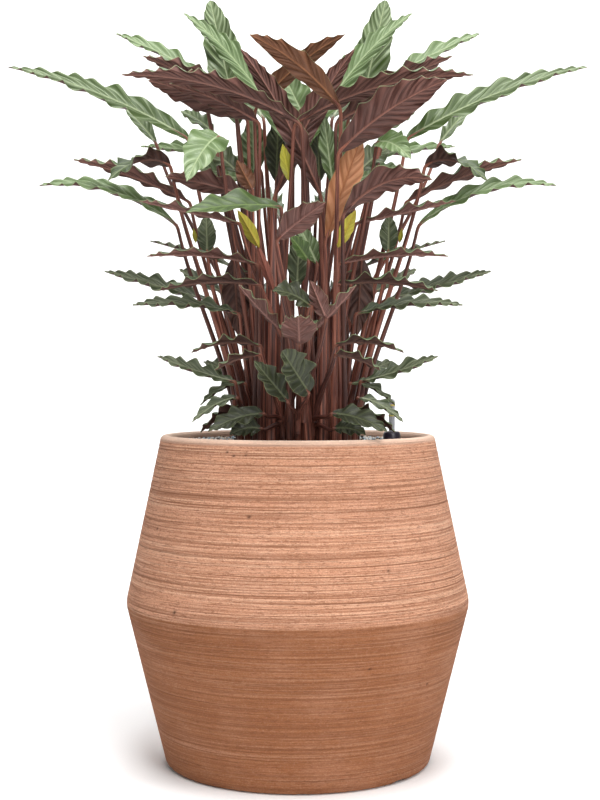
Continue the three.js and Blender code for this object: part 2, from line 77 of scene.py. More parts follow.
# A leaf: its heel and tip (across, up, depth) as they are seen from the front, the arch of its middle line, its
# width, the number of broad waves of its edge, its lean (at the heel, at the tip), its look and its outline.
Leaf = namedtuple("Leaf", "heel tip arch width waves lean look outline", defaults=("lance",))
Stem = namedtuple("Stem", "name side root foot leaves")

# Each stem: name, side (both = a mirrored pair, given as the left-hand one), root on the soil, foot radius, how
# much deeper the right-hand copy stands, and then its leaves.
STEMS = (
    ("long_green", "both", (-62, 10), 3.5, -22,
     ((-135, 776, 20), (-360, 866, 0), 12, 38, 5, (50, 28), "sage", "early")),
    ("upper_green", "both", (-30, 34), 6, 10,
     ((-119, 855, 62), (-226, 907, 75), 3, 29, 3, (32, 36), "pale"),
     ((-176, 770, 80), (-216, 816, 150), 3, 20, 3, (35, 35), "sage"),
     ((-75, 735, 48), (-119, 769, 62), 3, 32, 3, (55, 55), "moss")),
    ("upper_dark", "both", (-40, 20), 6, 10,
     ((-78, 828, 38), (-192, 879, 40), 2, 32, 4, (-35, -30), "maroon")),
    ("long_dark", "both", (27, -9), 3.5, 8,
     ((5, 794, -53), (-219, 856, -102), 18, 32, 5, (-40, -35), "maroon")),
    ("broad_dark", "both", (-51, 8), 3.5, 5,
     ((-62, 801, 15), (-186, 849, -50), 6, 54, 4, (-50, -45), "maroon"),
     ((-47, 796, -20), (-160, 845, -62), 6, 32, 3, (-45, -45), "maroon")),
    ("mid_green", "both", (-44, 46), 6, 10,
     ((-105, 784, 80), (-146, 811, 130), 4, 26, 3, (40, 40), "sage"),
     ((-72, 725, 86), (-126, 742, 122), 2, 34, 3, (50, 50), "pale")),
    ("curly_dark", "both", (-70, -14), 3.5, 15,
     ((-158, 742, -45), (-236, 725, -85), 16, 38, 3, (-75, 50), "umber"),
     ((-113, 635, -30), (-114, 680, -30), 0, 24, 3, (80, 80), "moss", "oval")),
    ("thin_dark", "both", (-60, -6), 3, 10,
     ((-134, 698, -15), (-279, 751, -40), 6, 30, 4, (-25, -15), "maroon")),
    ("low_green", "both", (-73, 0), 3, -6,
     ((-150, 669, -10), (-322, 719, -30), 19, 34, 5, (30, 25), "pale")),
    ("edge_dark", "both", (18, -46), 4, 56,
     ((-72, 672, -87), (-197, 700, -108), 0, 24, 4, (-15, -15), "mauve")),
    ("left_green", "both", (-60, 24), 3, 6,
     ((-106, 575, 20), (-241, 612, 0), 0, 30, 4, (28, 28), "moss"),
     ((-57, 609, 37), (-184, 650, 28), 3, 16, 4, (10, 10), "moss")),
    ("scallop_dark", "both", (-52, -44), 3, 18,
     ((-50, 621, -84), (-188, 631, -105), 6, 24, 4, (-15, -15), "mauve")),
    ("narrow_green", "both", (-54, -14), 3, 10,
     ((-72, 559, -52), (-206, 570, -72), 6, 28, 4, (24, 24), "moss"),
     ((-65, 472, -42), (-122, 445, -46), 8, 18, 3, (20, 20), "moss"),
     ((-80, 630, -26), (-74, 531, -36), 0, 36, 3, (-88, -88), "umber")),
    ("tooth_dark", "both", (-46, -52), 3, 26,
     ((-47, 595, -95), (-175, 588, -120), 7, 26, 4, (-18, -18), "umber")),
    ("behind_green", "both", (-56, 37), 6, 2,
     ((-95, 585, 75), (-148, 614, 110), 2, 26, 3, (40, 40), "moss"),
     ((-72, 478, 40), (-118, 499, 60), 2, 24, 3, (40, 40), "moss")),
    ("low_dark", "both", (-14, -62), 3, -24,
     ((-46, 519, -110), (-133, 511, -130), 8, 22, 3, (-18, -18), "umber"),
     ((-47, 508, -135), (-104, 489, -160), 4, 24, 3, (-25, -25), "umber"),
     ((-18, 538, -125), (-73, 595, -138), -2, 22, 3, (-15, -15), "mauve"),
     ((-42, 434, -105), (-112, 412, -125), 5, 28, 3, (45, 45), "shade"),
     ((-45, 415, -84), (-85, 408, -100), 4, 26, 3, (50, 50), "shade")),
    ("base_green", "both", (-61, -24), 3, 6,
     ((-78, 474, -60), (-175, 506, -80), -2, 26, 4, (31, 31), "moss"),
     ((-65, 440, -40), (-122, 411, -60), 6, 26, 3, (-30, -30), "umber"),
     ((-75, 454, -92), (-132, 424, -108), 6, 16, 3, (30, 30), "moss")),
    ("tall_oval", "both", (-31, 49), 6, 10,
     ((-74, 794, 85), (-109, 948, 100), 0, 48, 4, (80, 80), "sage", "oval"),
     ((-27, 722, 66), (-24, 809, 68), 0, 32, 3, (85, 85), "shade")),
    ("tall_narrow", "both", (10, 28), 6, 20,
     ((6, 741, 37), (-142, 932, 50), 26, 36, 5, (50, 50), "pale")),
    ("tall_dark", "both", (34, -52), 9.5, 34,
     ((30, 702, -34), (-71, 888, -40), 16, 34, 4, (-60, -60), "maroon")),
    ("back_high", "both", (-20, 61), 6, 14,
     ((-42, 800, 80), (-78, 838, 215), 8, 40, 3, (20, 20), "sage"),
     ((-45, 738, 100), (-196, 767, 190), 8, 32, 3, (35, 35), "pale"),
     ((-54, 731, 95), (-57, 806, 98), 0, 36, 3, (80, 80), "sage")),
    ("back_wide", "both", (-9, 76), 6, 10,
     ((-22, 675, 80), (-58, 712, 270), 12, 38, 3, (0, 0), "sage"),
     ((-35, 575, 85), (-72, 588, 230), 10, 36, 3, (0, 0), "moss")),
    ("drooping", "left", (-48, -32), 3, 0,
     ((-97, 780, -90), (-138, 724, -150), 10, 50, 3, (50, 60), "pale", "early"),
     ((-64, 706, -60), (-165, 730, -90), 3, 34, 3, (-45, -45), "maroon"),
     ((-56, 712, -32), (-76, 750, -30), 0, 22, 3, (-85, -85), "brown")),
    ("front_green", "left", (-8, -74), 5, 0,
     ((-20, 692, -110), (-139, 685, -165), 5, 42, 3, (40, 40), "fresh"),
     ((14, 624, -120), (-10, 656, -140), 2, 22, 3, (60, 60), "fresh"),
     ((25, 620, -60), (1, 672, -60), 0, 22, 3, (80, 80), "sage")),
    ("top_brown", "right", (44, -21), 6, 0,
     ((54, 814, -90), (-60, 906, -165), 11, 31, 4, (-60, -60), "brown"),
     ((98, 772, -50), (141, 752, -96), 8, 36, 3, (60, 60), "pale", "early")),
    ("top_brown_back", "left", (-38, -19), 3, 0,
     ((-54, 812, 24), (59, 906, -20), 11, 28, 4, (-55, -55), "brown")),
    ("great_dark", "right", (43, -69), 3.5, 0,
     ((50, 759, -135), (186, 850, -180), 10, 50, 4, (-60, -60), "maroon")),
    ("young_brown", "right", (29, -75), 6.5, 0,
     ((34, 648, -88), (80, 779, -97), 2, 36, 2, (-90, -90), "young", "late")),
    ("arched_dark", "right", (57, -66), 3, 0,
     ((56, 682, -148), (168, 726, -190), 18, 36, 4, (-50, -50), "maroon")),
    ("inner_green", "centre", (18, 10), 6, 0,
     ((44, 719, 12), (32, 809, 14), 0, 24, 3, (90, 90), "sage"),
     ((-1, 590, -10), (2, 662, 0), 0, 28, 3, (85, 85), "moss"),
     ((10, 800, 98), (-19, 860, 112), 0, 44, 3, (80, 80), "pale", "early")),
    ("front_mauve", "centre", (12, -82), 6.5, 0,
     ((-26, 651, -185), (35, 698, -225), 2, 33, 4, (-60, -60), "mauve"),
     ((18, 567, -174), (-31, 588, -198), 5, 31, 3, (50, 50), "shade"),
     ((36, 552, -172), (16, 600, -182), 0, 22, 3, (-70, -70), "mauve")),
    ("front_fan", "centre", (0, -85), 3, 0,
     ((2, 521, -185), (1, 556, -240), 4, 44, 4, (-70, -70), "mauve", "early"),
     ((14, 460, -160), (-19, 512, -205), 0, 42, 3, (60, 60), "shade", "oval"),
     ((-12, 449, -150), (-54, 500, -170), 0, 30, 3, (50, 50), "shade")),
)

# Opened leaf sheaths and buds on some stalks, given like leaves.
SHEATHS = {
    "left_drooping": (
        ((-48, 641, -64), (-75, 688, -62), 1, 17, 1, (-80, -80), "yellow"),
        ((-29, 584, -66), (-51, 646, -63), 0, 12, 1, (-80, -80), "sheath")),
    "right_arched_dark": (
        ((50, 641, -118), (73, 688, -112), 1, 17, 1, (-80, -80), "yellow"),),
    "right_long_dark": (
        ((-9, 722, -38), (-19, 770, -34), 0, 16, 1, (80, 80), "yellow"),),
    "left_thin_dark": (
        ((-127, 647, -16), (-130, 665, -18), 0, 6, 1, (80, 80), "yellow"),),
    "right_thin_dark": (
        ((127, 647, -6), (130, 665, -8), 0, 6, 1, (80, 80), "yellow"),),
}

# Each look: furrow, crest and vein colour of the upper face, the same of the underside, how clearly the side veins
# show on each, and the pitch and height of its ruffles as shares of the usual ones. The furrow colour is darkened as
# painted shade, and the crest colour is paled as painted sheen.
Look = namedtuple("Look", "upper under veins pitch height")
DULL_MAROON = ("#3A2320", "#6A463E", "#7E5140")
DEEP_MAROON = ("#342120", "#5C3E38", "#6E4A40")
DARK_GREEN = ("#36432C", "#6C7A58", "#828E5E")
RED_BROWN = ("#6E3A2C", "#A5685A", "#8A5040")
LOOKS = {
    "fresh": Look(("#33451F", "#667C45", "#7F9258"), DULL_MAROON, (0.2, 0.2), 1.5, 0.5),
    "pale": Look(("#556B3C", "#A9BA94", "#B4C19A"), DULL_MAROON, (0.25, 0.2), 0.95, 1.0),
    "sage": Look(("#3A4D1E", "#ACBC96", "#B6C19B"), DULL_MAROON, (0.2, 0.2), 1.0, 1.0),
    "moss": Look(("#353F26", "#92997A", "#9AA07E"), DEEP_MAROON, (0.2, 0.2), 0.68, 1.35),
    "shade": Look(("#272B1B", "#5C6246", "#6E7552"), DEEP_MAROON, (0.2, 0.2), 0.7, 1.2),
    "maroon": Look(("#425234", "#7F8F68", "#94A06C"), ("#3F2520", "#8C5F54", "#966556"), (0.25, 0.15), 0.9, 1.25),
    "umber": Look(DARK_GREEN, ("#301D18", "#66463C", "#744F42"), (0.25, 0.15), 0.8, 1.35),
    "mauve": Look(DARK_GREEN, ("#4E322C", "#835950", "#A2756A"), (0.25, 0.45), 0.85, 1.1),
    "brown": Look(("#36432C", "#8D9C78", "#8A965E"), ("#553320", "#8C5E44", "#94623F"), (0.25, 0.2), 1.0, 1.1),
    "yellow": Look(("#7E7A1E", "#B5AC38", "#B9B04A"), ("#8E8424", "#BDAF3E", "#A88C34"), (0.2, 0.2), 1.5, 0.3),
    "sheath": Look(RED_BROWN, RED_BROWN, (0.2, 0.2), 1.5, 0.1),
    "young": Look(("#6E4426", "#B57A52", "#8E5A38"), ("#8E5835", "#C08A64", "#8A5434"), (0.25, 0.2), 1.2, 0.5),
}


def linear(code):
    """An sRGB hex colour as the linear red, green, blue and alpha that the shaders take."""
    channels = [int(code[i:i + 2], 16) / 255 for i in (1, 3, 5)]
    return [c / 12.92 if c <= 0.04045 else ((c + 0.055) / 1.055) ** 2.4 for c in channels] + [1.0]


def colour(label, code, says):
    return FloatVectorProperty(name=label, description=says, subtype="COLOR", size=4, min=0, max=1,
                               default=linear(code))


def length(label, millimetres, says):
    return FloatProperty(name=label, description=says, default=millimetres * MM, min=0, unit="LENGTH")


def power(label, watts, says):
    return FloatProperty(name=label, description=says, default=watts, min=0, unit="POWER")


class PotSettings(bpy.types.PropertyGroup):
    groove_pitch: length("Groove pitch", 3.6, "Mean distance between the comb's lines")
    groove_depth: length("Groove depth", 0.8, "Depth of the deepest comb lines")
    # Clay above the ridge, as lit from above, and below it painted darker as shade where the lower cone faces down.
    clay: colour("Clay", "#CC9475", "Fired clay above the ridge, where the comb has opened it")
    clay_low_painted_shade: colour("Lower clay", "#A16845", "Fired clay below the ridge, where the comb has closed it")
    clay_cloud: colour("Clay clouds", "#D9A488", "Paler, pinker clouds from the firing")
    # Painted shade in the comb's lines and grooves, and the colour of dark grit.
    clay_groove_shade_and_grit: colour("Groove clay", "#7E4E34", "Clay in the bottom of the grooves")
    # Painted highlight: the pale band on the rim.
    clay_rim_highlight: colour("Rim clay", "#EED2BD", "Rubbed clay on the rim")


class FillingSettings(bpy.types.PropertyGroup):
    soil: colour("Soil", "#2A211B", "Moist potting soil")
    crumb: colour("Crumbs", "#4A3A2E", "Dry crumbs on the soil")
    grain_size: length("Grain size", 4.2, "Mean size of a grain of the granulate")
    grain_count: IntProperty(name="Grains", description="How many grains lie on the soil", default=2600, min=1)


class GaugeSettings(bpy.types.PropertyGroup):
    collar: colour("Collar", "#2A2430", "Moulded collar of the gauge")
    tube: colour("Tube", "#D9DADF", "Clear tube")
    mark: colour("Marks", "#D9C46A", "Marks and float pin")


class FoliageSettings(bpy.types.PropertyGroup):
    ruffle_pitch: length("Ruffle pitch", 25, "Distance between the waves of a blade's edge")
    ruffle_height: length("Ruffle height", 3.6, "Height of the waves of a broad blade's edge")
    pleat_height: length("Pleat height", 1.0, "Height of the pleats between the side veins")
    blade_edge: length("Edge thickness", 0.5, "Thickness of a blade at its edge")
    margin: colour("Margin", "#A9BF86", "Thin pale edge of a blade")
    petiole: colour("Petiole", "#4E2319", "Stalk of a leaf")
    # Lengthwise fibre streaks, which are also painted highlights along the stalk.
    petiole_streak_and_highlight: colour("Petiole streaks", "#A06350", "Lengthwise streaks on a stalk")
    # Painted shade in the furrows between a sheath's ribs, and the dark tone of some stalks.
    petiole_dark: colour("Petiole shade", "#2A1210", "Furrows between a sheath's ribs")


class StageSettings(bpy.types.PropertyGroup):
    floor: colour("Floor", "#FDFDFD", "Plain pale floor and backdrop")
    key_power: power("Overhead light", 66, "Power of the overhead softbox")
    fill_power: power("Front light", 34, "Power of the softbox by the camera")
    back_power: power("Backdrop light", 110, "Power of the softbox over the backdrop")
    lens: FloatProperty(name="Lens", description="Focal length on a 36 mm frame", default=67.5, min=1,
                        unit="CAMERA")


class CalatheaSettings(bpy.types.PropertyGroup):
    pot: PointerProperty(type=PotSettings)
    filling: PointerProperty(type=FillingSettings)
    gauge: PointerProperty(type=GaugeSettings)
    foliage: PointerProperty(type=FoliageSettings)
    stage: PointerProperty(type=StageSettings)


# ---- Materials ----
FINISH = ("Roughness", "IOR", "Specular IOR Level", "Transmission Weight")
COLOUR_A, COLOUR_B, COLOUR_OUT = 6, 7, 2  # sockets of a Mix node that mixes colours
WAVE_BAND = math.pi / 10  # distance between the bands of a Wave Texture at scale 1
PLEAT_IN_PATTERN = 10  # length that a pleat takes up in the pattern's place, in millimetres
VEINLET_PITCH = 1.2


def add_node(tree, kind, settings=None, values=None, links=None):
    """Adds one node with its settings, socket values and links into it."""
    made = tree.nodes.new(kind)
    for name, value in (settings or {}).items():
        setattr(made, name, value)
    for socket, value in (values or {}).items():
        made.inputs[socket].default_value = value
    for socket, source in (links or {}).items():
        tree.links.new(source, made.inputs[socket])
    return made


def make_material(name, finish, base, grains, coats, relief, bump, skin=False, channels=(), patterns=None):
    """Makes a material from its tables. Grains are noises over the place in metres, by their scale along every
    axis, detail and roughness; the place is drawn on a plant's skin, else it is the object's own. Channels name
    the mesh's form colours, and patterns is a function that adds more. Each coat covers the ones before it where
    its pattern goes from a low to a high value, up to a share of its own colour. The relief adds patterns up by
    weight, and bump is its strength and its depth in millimetres."""
    material = bpy.data.materials.new(name)
    material.use_nodes = True
    tree = material.node_tree
    tree.nodes.clear()
    if skin:
        place = add_node(tree, "ShaderNodeUVMap", {"uv_map": "place"}).outputs["UV"]
    else:
        place = add_node(tree, "ShaderNodeTexCoord").outputs["Object"]
    found = {}
    if channels:
        form = add_node(tree, "ShaderNodeAttribute", {"attribute_name": "form"}).outputs
        parts = add_node(tree, "ShaderNodeSeparateColor", links={0: form["Color"]}).outputs
        found = dict(zip(channels, (*parts, form["Alpha"])))
    for grain, scale, detail, roughness in grains:
        drawn_out = add_node(tree, "ShaderNodeMapping", values={"Scale": scale}, links={"Vector": place})
        found[grain] = add_node(tree, "ShaderNodeTexNoise",
                                values={"Scale": 1, "Detail": detail, "Roughness": roughness},
                                links={"Vector": drawn_out.outputs[0]}).outputs["Fac"]
    if patterns:
        patterns(tree, place, found)
    top = base
    for pattern, low, high, share, coat in coats:
        laid = add_node(tree, "ShaderNodeMapRange",
                        values={"From Min": low, "From Max": high, "To Min": 0.0, "To Max": share},
                        links={"Value": found[pattern]})
        constants, links = {COLOUR_B: coat}, {0: laid.outputs[0]}
        (constants if top is base else links)[COLOUR_A] = top
        top = add_node(tree, "ShaderNodeMix", {"data_type": "RGBA"}, constants, links).outputs[COLOUR_OUT]
    height = found[relief[0]]
    for pattern, weight in relief[1:]:
        height = add_node(tree, "ShaderNodeMath", {"operation": "MULTIPLY_ADD"}, {1: weight},
                          {0: found[pattern], 2: height}).outputs[0]
    strength, depth = bump
    normal = add_node(tree, "ShaderNodeBump", values={"Strength": strength, "Distance": depth * MM},
                      links={"Height": height}).outputs[0]
    shader = add_node(tree, "ShaderNodeBsdfPrincipled", values=dict(zip(FINISH, finish)),
                      links={"Base Color": top, "Normal": normal})
    add_node(tree, "ShaderNodeOutputMaterial", links={"Surface": shader.outputs["BSDF"]})
    return material


def leaf_patterns(tree, place, found):
    """Adds a leaf's side veins, one to a pleat of the mesh, its veinlets and the painted sheen on the crest of each
    pleat, which irregular streaks share out."""
    for pattern, pitch, distortion in (("veins", PLEAT_IN_PATTERN, 0.0), ("veinlets", VEINLET_PITCH, 0.6)):
        found[pattern] = add_node(tree, "ShaderNodeTexWave", {"wave_type": "BANDS", "bands_direction": "X"},
                                  {"Scale": WAVE_BAND / pitch / MM, "Distortion": distortion, "Detail": 2,
                                   "Detail Scale": 2}, {"Vector": place}).outputs["Fac"]
    uneven = add_node(tree, "ShaderNodeMapRange",
                      values={"From Min": 0.34, "From Max": 0.66, "To Min": -0.14, "To Max": 0.5},
                      links={"Value": found["streaks"]})
    found["crest_sheen"] = add_node(tree, "ShaderNodeMath", {"operation": "MULTIPLY_ADD", "use_clamp": True},
                               {1: 0.62}, {0: found["tone"], 2: uneven.outputs[0]}).outputs[0]


def blade_material(name, furrow, crest, vein, margin, vein_share, deepening, roughness):
    """A living leaf's skin, cutinised and satin: painted pale as sheen on the crest of each pleat and painted dark
    as shade in the furrows between them, with a thin side vein on every crest and close veinlets that follow it.
    Towards its heel the blade is deeper in colour."""
    grains = (
        ("mottle", (60, 60, 60), 4, 0.6),  # mottles of about 15 mm
        ("streaks", (330, 22, 1), 3, 0.6),  # streaks along the veins, 2 to 4 mm wide
    )
    coats = (
        # Painted sheen on the crest of each pleat, over the furrow colour, which stands for the shade between the
        # pleats.
        ("crest_sheen", 0.0, 1.0, 1.0, crest),
        ("along", 0.85, 0.15, deepening, furrow),
        ("mottle", 0.3, 0.75, 0.45, furrow),
        ("veinlets", 1.0, 0.0, 0.16, furrow),
        ("veins", 0.09, 0.0, vein_share, vein),
        ("rib", 0.1, 1.0, 0.6, vein),
        ("margin", 0.3, 1.0, 0.4, margin),
    )
    return make_material(name, (roughness, 1.45, 0.45), furrow, grains, coats, ("veinlets",), (0.3, 0.3), True,
                         ("tone", "margin", "rib", "along"), leaf_patterns)


def petiole_material(foliage):
    """A calathea's stalk, red-brown and finely hairy: fibres as lengthwise streaks that are also painted highlights,
    painted shade in the furrows between a sheath's ribs, and a paler joint under the blade. Every stalk has its own
    tone."""
    fibres = ("fibres", (9, 620, 1), 5, 0.65)  # 1 to 2 mm apart and some 100 mm long
    shade = foliage.petiole_dark
    coats = (
        # Fibre streaks, which are also painted highlights along the stalk.
        ("fibres", 0.44, 0.58, 1.0, foliage.petiole_streak_and_highlight),
        ("tone", 0.0, 1.0, 0.75, shade),
        # Painted shade in the furrows between a sheath's ribs.
        ("furrows", 0.0, 1.0, 1.0, shade),
        ("joint", 0.2, 1.0, 0.6, linear("#84503C")),
    )
    return make_material("petiole_red_brown", (0.5, 1.45, 0.5), foliage.petiole, (fibres,), coats,
                         ("fibres",), (0.5, 0.4), True, ("furrows", "joint", "tone"))


def terracotta_material(pot):
    """Fired terracotta, turned and combed while leather-hard: a dry, matt clay in close fine lines, with painted
    highlights on their lips and painted shade in the lines and grooves, whose grit shows as short dark drags. It is
    cloudy from firing, painted darker below the ridge as shade where the lower cone faces down, and painted pale on
    the rim as a highlight."""
    grains = (
        ("lines", (2.6, 2.6, 700), 2, 0.5),  # comb lines, about 1.5 mm apart
        ("grooves", (1.6, 1.6, 430), 1, 0.5),  # deeper lines, some 5 mm apart
        ("fine", (14, 14, 640), 2, 0.6),  # the comb's teeth marks, 1.5 mm apart: coarser than real ones, to show
        ("drags", (110, 110, 620), 3, 0.75),  # dragged grit, 2 mm by some 9 mm
        ("clouds", (16, 16, 26), 3, 0.55),  # firing clouds of some 50 mm
        ("grit", (480, 480, 760), 3, 0.7),  # grit of 1 to 2 mm
    )
    dark = pot.clay_groove_shade_and_grit
    coats = (
        ("upper", 0.0, 1.0, 1.0, pot.clay),
        ("clouds", 0.45, 0.66, 0.4, pot.clay_cloud),
        # Painted highlight on the lips of the comb's lines.
        ("lines", 0.43, 0.37, 0.32, linear("#F0C6A8")),
        ("grit", 0.54, 0.66, 0.4, linear("#F2CDB0")),
        # Painted shade: the lower cone is darker below the ridge, where it faces down.
        ("upper", 1.0, 0.0, 0.6, pot.clay_low_painted_shade),
        # Painted shade in the comb's lines, grooves, teeth marks and cuts, and the real dark of the grit and its
        # drags.
        ("lines", 0.54, 0.6, 0.38, dark),
        ("grooves", 0.6, 0.64, 0.36, dark),
        ("fine", 0.54, 0.62, 0.42, dark),
        ("drags", 0.54, 0.64, 0.6, dark),
        ("grit", 0.45, 0.34, 0.45, dark),
        ("cut", 0.25, 0.75, 0.75, dark),
        # Painted highlight on the rim.
        ("rim", 0.0, 1.0, 1.0, pot.clay_rim_highlight),
        # Painted shade in the pits.
        ("pits", 0.0, 1.0, 1.0, linear("#4A2E22")),
    )
    relief = ("grit", ("lines", -2.2), ("fine", -0.7), ("drags", -0.9))
    return make_material("terracotta_combed", (0.9, 1.5, 0.25), pot.clay_low_painted_shade, grains, coats, relief,
                         (1.0, 1.1), channels=("cut", "rim", "pits", "upper"))


def soil_material(filling):
    """Peat-based potting soil, moist: almost black, with paler dry fibres."""
    return make_material("potting_soil_peat", (0.95, 1.5, 0.5), filling.soil,
                         (("crumbs", (260, 260, 260), 6, 0.7),),
                         (("crumbs", 0.52, 0.7, 1.0, filling.crumb),), ("crumbs",), (0.8, 1.5))


def granulate_material():
    """Mixed mineral granules, tumbled: white, blue-grey, black or tan, with a speckled face."""
    coats = (
        ("kind", 0.34, 0.36, 1.0, linear("#A9BECB")),
        ("kind", 0.56, 0.58, 1.0, linear("#33312F")),
        ("kind", 0.78, 0.8, 1.0, linear("#D0B999")),
        ("speckle", 0.5, 0.8, 0.5, linear("#8A857C")),
    )
    return make_material("granulate_mineral", (0.75, 1.5, 0.5), linear("#F4F2EE"),
                         (("speckle", (1400, 1400, 1400), 3, 0.5),), coats, ("speckle",), (0.5, 0.3),
                         channels=("kind",))


def moulded_material(name, base, finish):
    """Injection-moulded plastic: an even colour with a faint flow mottle and a soft gloss."""
    shade = [c * 0.7 for c in base[:3]] + [1.0]
    return make_material(name, finish, base, (("flow", (180, 180, 180), 3, 0.5),),
                         (("flow", 0.4, 0.7, 0.2, shade),), ("flow",), (0.1, 0.05))


def backdrop_material(stage):
    """Seamless background paper: matt, with a hardly visible tooth."""
    return make_material("backdrop_paper", (0.95, 1.5, 0.5), stage.floor,
                         (("tooth", (300, 300, 300), 2, 0.5),),
                         (("tooth", 0.4, 0.6, 0.04, linear("#D8D6D2")),), ("tooth",), (0.1, 0.1))


# ---- Meshes ----
def skin_rings(rings, low_face=None, bored=False):
    """Quads over rings of points, (rings, points, 3), with a cap on each end, or back to the first ring round a
    bore. Where low_face is true the quads start one corner on, so that both faces of a blade are split along the
    same diagonal."""
    count, around = rings.shape[:2]
    start = np.arange(count if bored else count - 1)[:, None] * around
    after = (start + around) % (count * around)
    i = np.arange(around)[None, :]
    j = (i + 1) % around
    quads = np.stack([start + i, start + j, after + j, after + i], axis=-1)
    if low_face is not None:
        quads[:, low_face] = np.roll(quads[:, low_face], 1, axis=-1)
    quads = quads.reshape(-1, 4)
    faces = quads.tolist()
    if not bored:
        faces.append(list(range(around))[::-1])
        faces.append(list(range((count - 1) * around, count * around)))
    points = rings.reshape(-1, 3)
    corners = points[quads]
    centre = points.mean(axis=0)
    across = np.cross(corners[:, 2] - corners[:, 0], corners[:, 3] - corners[:, 1])
    if np.einsum("ij,ij->", corners.mean(axis=1) - centre, across) < 0:
        faces = [face[::-1] for face in faces]
    return points, faces


def shell(rings, place, form, slots=0, low_face=None, bored=False):
    """One closed body of a piece: its points, faces, places for the patterns, form colours and slots.
    slots holds the material of each point round a ring, or of them all."""
    points, faces = skin_rings(rings, low_face, bored)
    return points, faces, place.reshape(-1, 2), form.reshape(-1, form.shape[-1]), np.resize(slots, len(faces))


def make_piece(name, shells, materials, sharp=math.radians(50)):
    """Joins shells, given in millimetres, into one mesh object in metres."""
    points = np.concatenate([s[0] for s in shells]) * MM
    place = np.concatenate([s[2] for s in shells]) * MM
    form = np.concatenate([np.pad(s[3], ((0, 0), (0, 4 - s[3].shape[1])), constant_values=1) for s in shells])
    slots = np.concatenate([s[4] for s in shells])
    faces, start = [], 0
    for body in shells:
        faces.extend([[index + start for index in face] for face in body[1]])
        start += len(body[0])
    mesh = bpy.data.meshes.new(name)
    mesh.from_pydata(points.tolist(), [], faces)
    for material in materials:
        mesh.materials.append(material)
    mesh.polygons.foreach_set("material_index", slots.astype(np.int32))
    corner = np.zeros(len(mesh.loops), np.int32)
    mesh.loops.foreach_get("vertex_index", corner)
    mesh.uv_layers.new(name="place").data.foreach_set("uv", place[corner].astype(np.float32).ravel())
    colours = mesh.color_attributes.new("form", "FLOAT_COLOR", "POINT")
    colours.data.foreach_set("color", form.astype(np.float32).ravel())
    mesh.update()
    mesh.shade_smooth()
    mesh.set_sharp_from_angle(angle=sharp)
    piece = bpy.data.objects.new(name, mesh)
    bpy.context.scene.collection.objects.link(piece)
    return piece


def lathe_rings(profile, segments, shift=(0, 0)):
    """Rings about the z axis from a profile of (radius, height)."""
    angle = np.linspace(0, FULL_TURN, segments, endpoint=False)
    profile = np.asarray(profile, float)
    radius, height = profile[:, 0:1], profile[:, 1:2]
    return np.stack([
        radius * np.cos(angle) + shift[0],
        radius * np.sin(angle) + shift[1],
        height + 0 * angle,
    ], axis=-1)


def finish_piece(piece, slot, *nodes):
    """Makes a piece ride on the plant's body and stand for its solids."""
    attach(piece, "root")
    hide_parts(*nodes)
    return piece


# ---- Pot ----
POT_HEIGHT = 408
RIDGE_HEIGHT = 201
BASE_RADIUS = 164
RIDGE_RADIUS = 214
RIM_RADIUS = 170
RIDGE_SOFTNESS = 3.5
WALL = 13
LIP = WALL / 2
FLOOR = 20
BASE_ROUNDING = 7
POT_SEGMENTS = 360
POT_ROW = 1.1
RIM_ROWS = 15
# Where the rim's painted highlight lies.
RIM_HIGHLIGHT_BAND = (8, 9)  # the pale band's middle and reach, in rows after the outer face
COMB_MARGIN = 3
DEEP_LINES = (0.3, 0.12)  # share of the comb's lines that are deep, above and below the ridge
# Pits in the clay, by their angle from the front in degrees, height and size.
PITS = ((-17, 322, 1.6), (-28, 394, 1.2), (-25, 390, 1.1), (-42, 210, 2.2), (-20, 391, 0.9), (24, 150, 1.0),
        (31, 260, 1.1), (52, 120, 1.2), (-60, 300, 1.3), (130, 250, 1.4), (200, 330, 1.2), (250, 120, 1.5))
PIT_DEPTH = 1.4
# Three drainage notches and a chip in the foot, by their angle from the front, width, height and reach inwards.
NOTCHES = ((48, 24, 4, 26), (168, 24, 4, 26), (288, 24, 4, 26), (2, 10, 2.5, 5))
NOTCH_SLOPE = 2.5
NOTCH_LIMIT = 6


def outer_radius(z):
    """Radius of the pot's outer face at a height, softened at the ridge and rounded at the foot."""
    lower = BASE_RADIUS + (RIDGE_RADIUS - BASE_RADIUS) * z / RIDGE_HEIGHT
    upper = RIDGE_RADIUS + (RIM_RADIUS - RIDGE_RADIUS) * (z - RIDGE_HEIGHT) / (POT_HEIGHT - RIDGE_HEIGHT)
    sharp = np.minimum(lower, upper)
    soft = sharp - RIDGE_SOFTNESS * 0.25 * np.exp(-((z - RIDGE_HEIGHT) / RIDGE_SOFTNESS) ** 2)
    foot = np.clip(1 - z / BASE_ROUNDING, 0, 1)
    return soft - BASE_ROUNDING * (1 - np.sqrt(np.clip(1 - foot ** 2, 0, 1)))


def inner_radius(z):
    return outer_radius(z) - WALL


def pot_profile():
    """The pot's profile of (radius, height), from the middle of its underside over the rim to its floor, and the
    rows at which its outer face starts and ends."""
    heights = np.arange(0, POT_HEIGHT - LIP, POT_ROW)
    heights = np.unique(np.concatenate([np.linspace(0, BASE_ROUNDING, 9), heights[heights > BASE_ROUNDING]]))
    under = [(r, 0.0) for r in np.linspace(2, BASE_RADIUS - BASE_ROUNDING - 2, 26)]
    outer = list(zip(outer_radius(heights), heights))
    middle = outer_radius(POT_HEIGHT - LIP) - LIP
    rim = [(middle + LIP * math.cos(a), POT_HEIGHT - LIP + LIP * math.sin(a))
           for a in np.linspace(0, math.pi, RIM_ROWS)]
    inner = [(inner_radius(z), z) for z in np.linspace(POT_HEIGHT - LIP - 3, FLOOR + 4, 40)]
    floor = [(inner[-1][0] - 4, FLOOR), (60, FLOOR), (2, FLOOR)]
    return under + outer + rim + inner + floor, len(under), len(under) + len(outer)


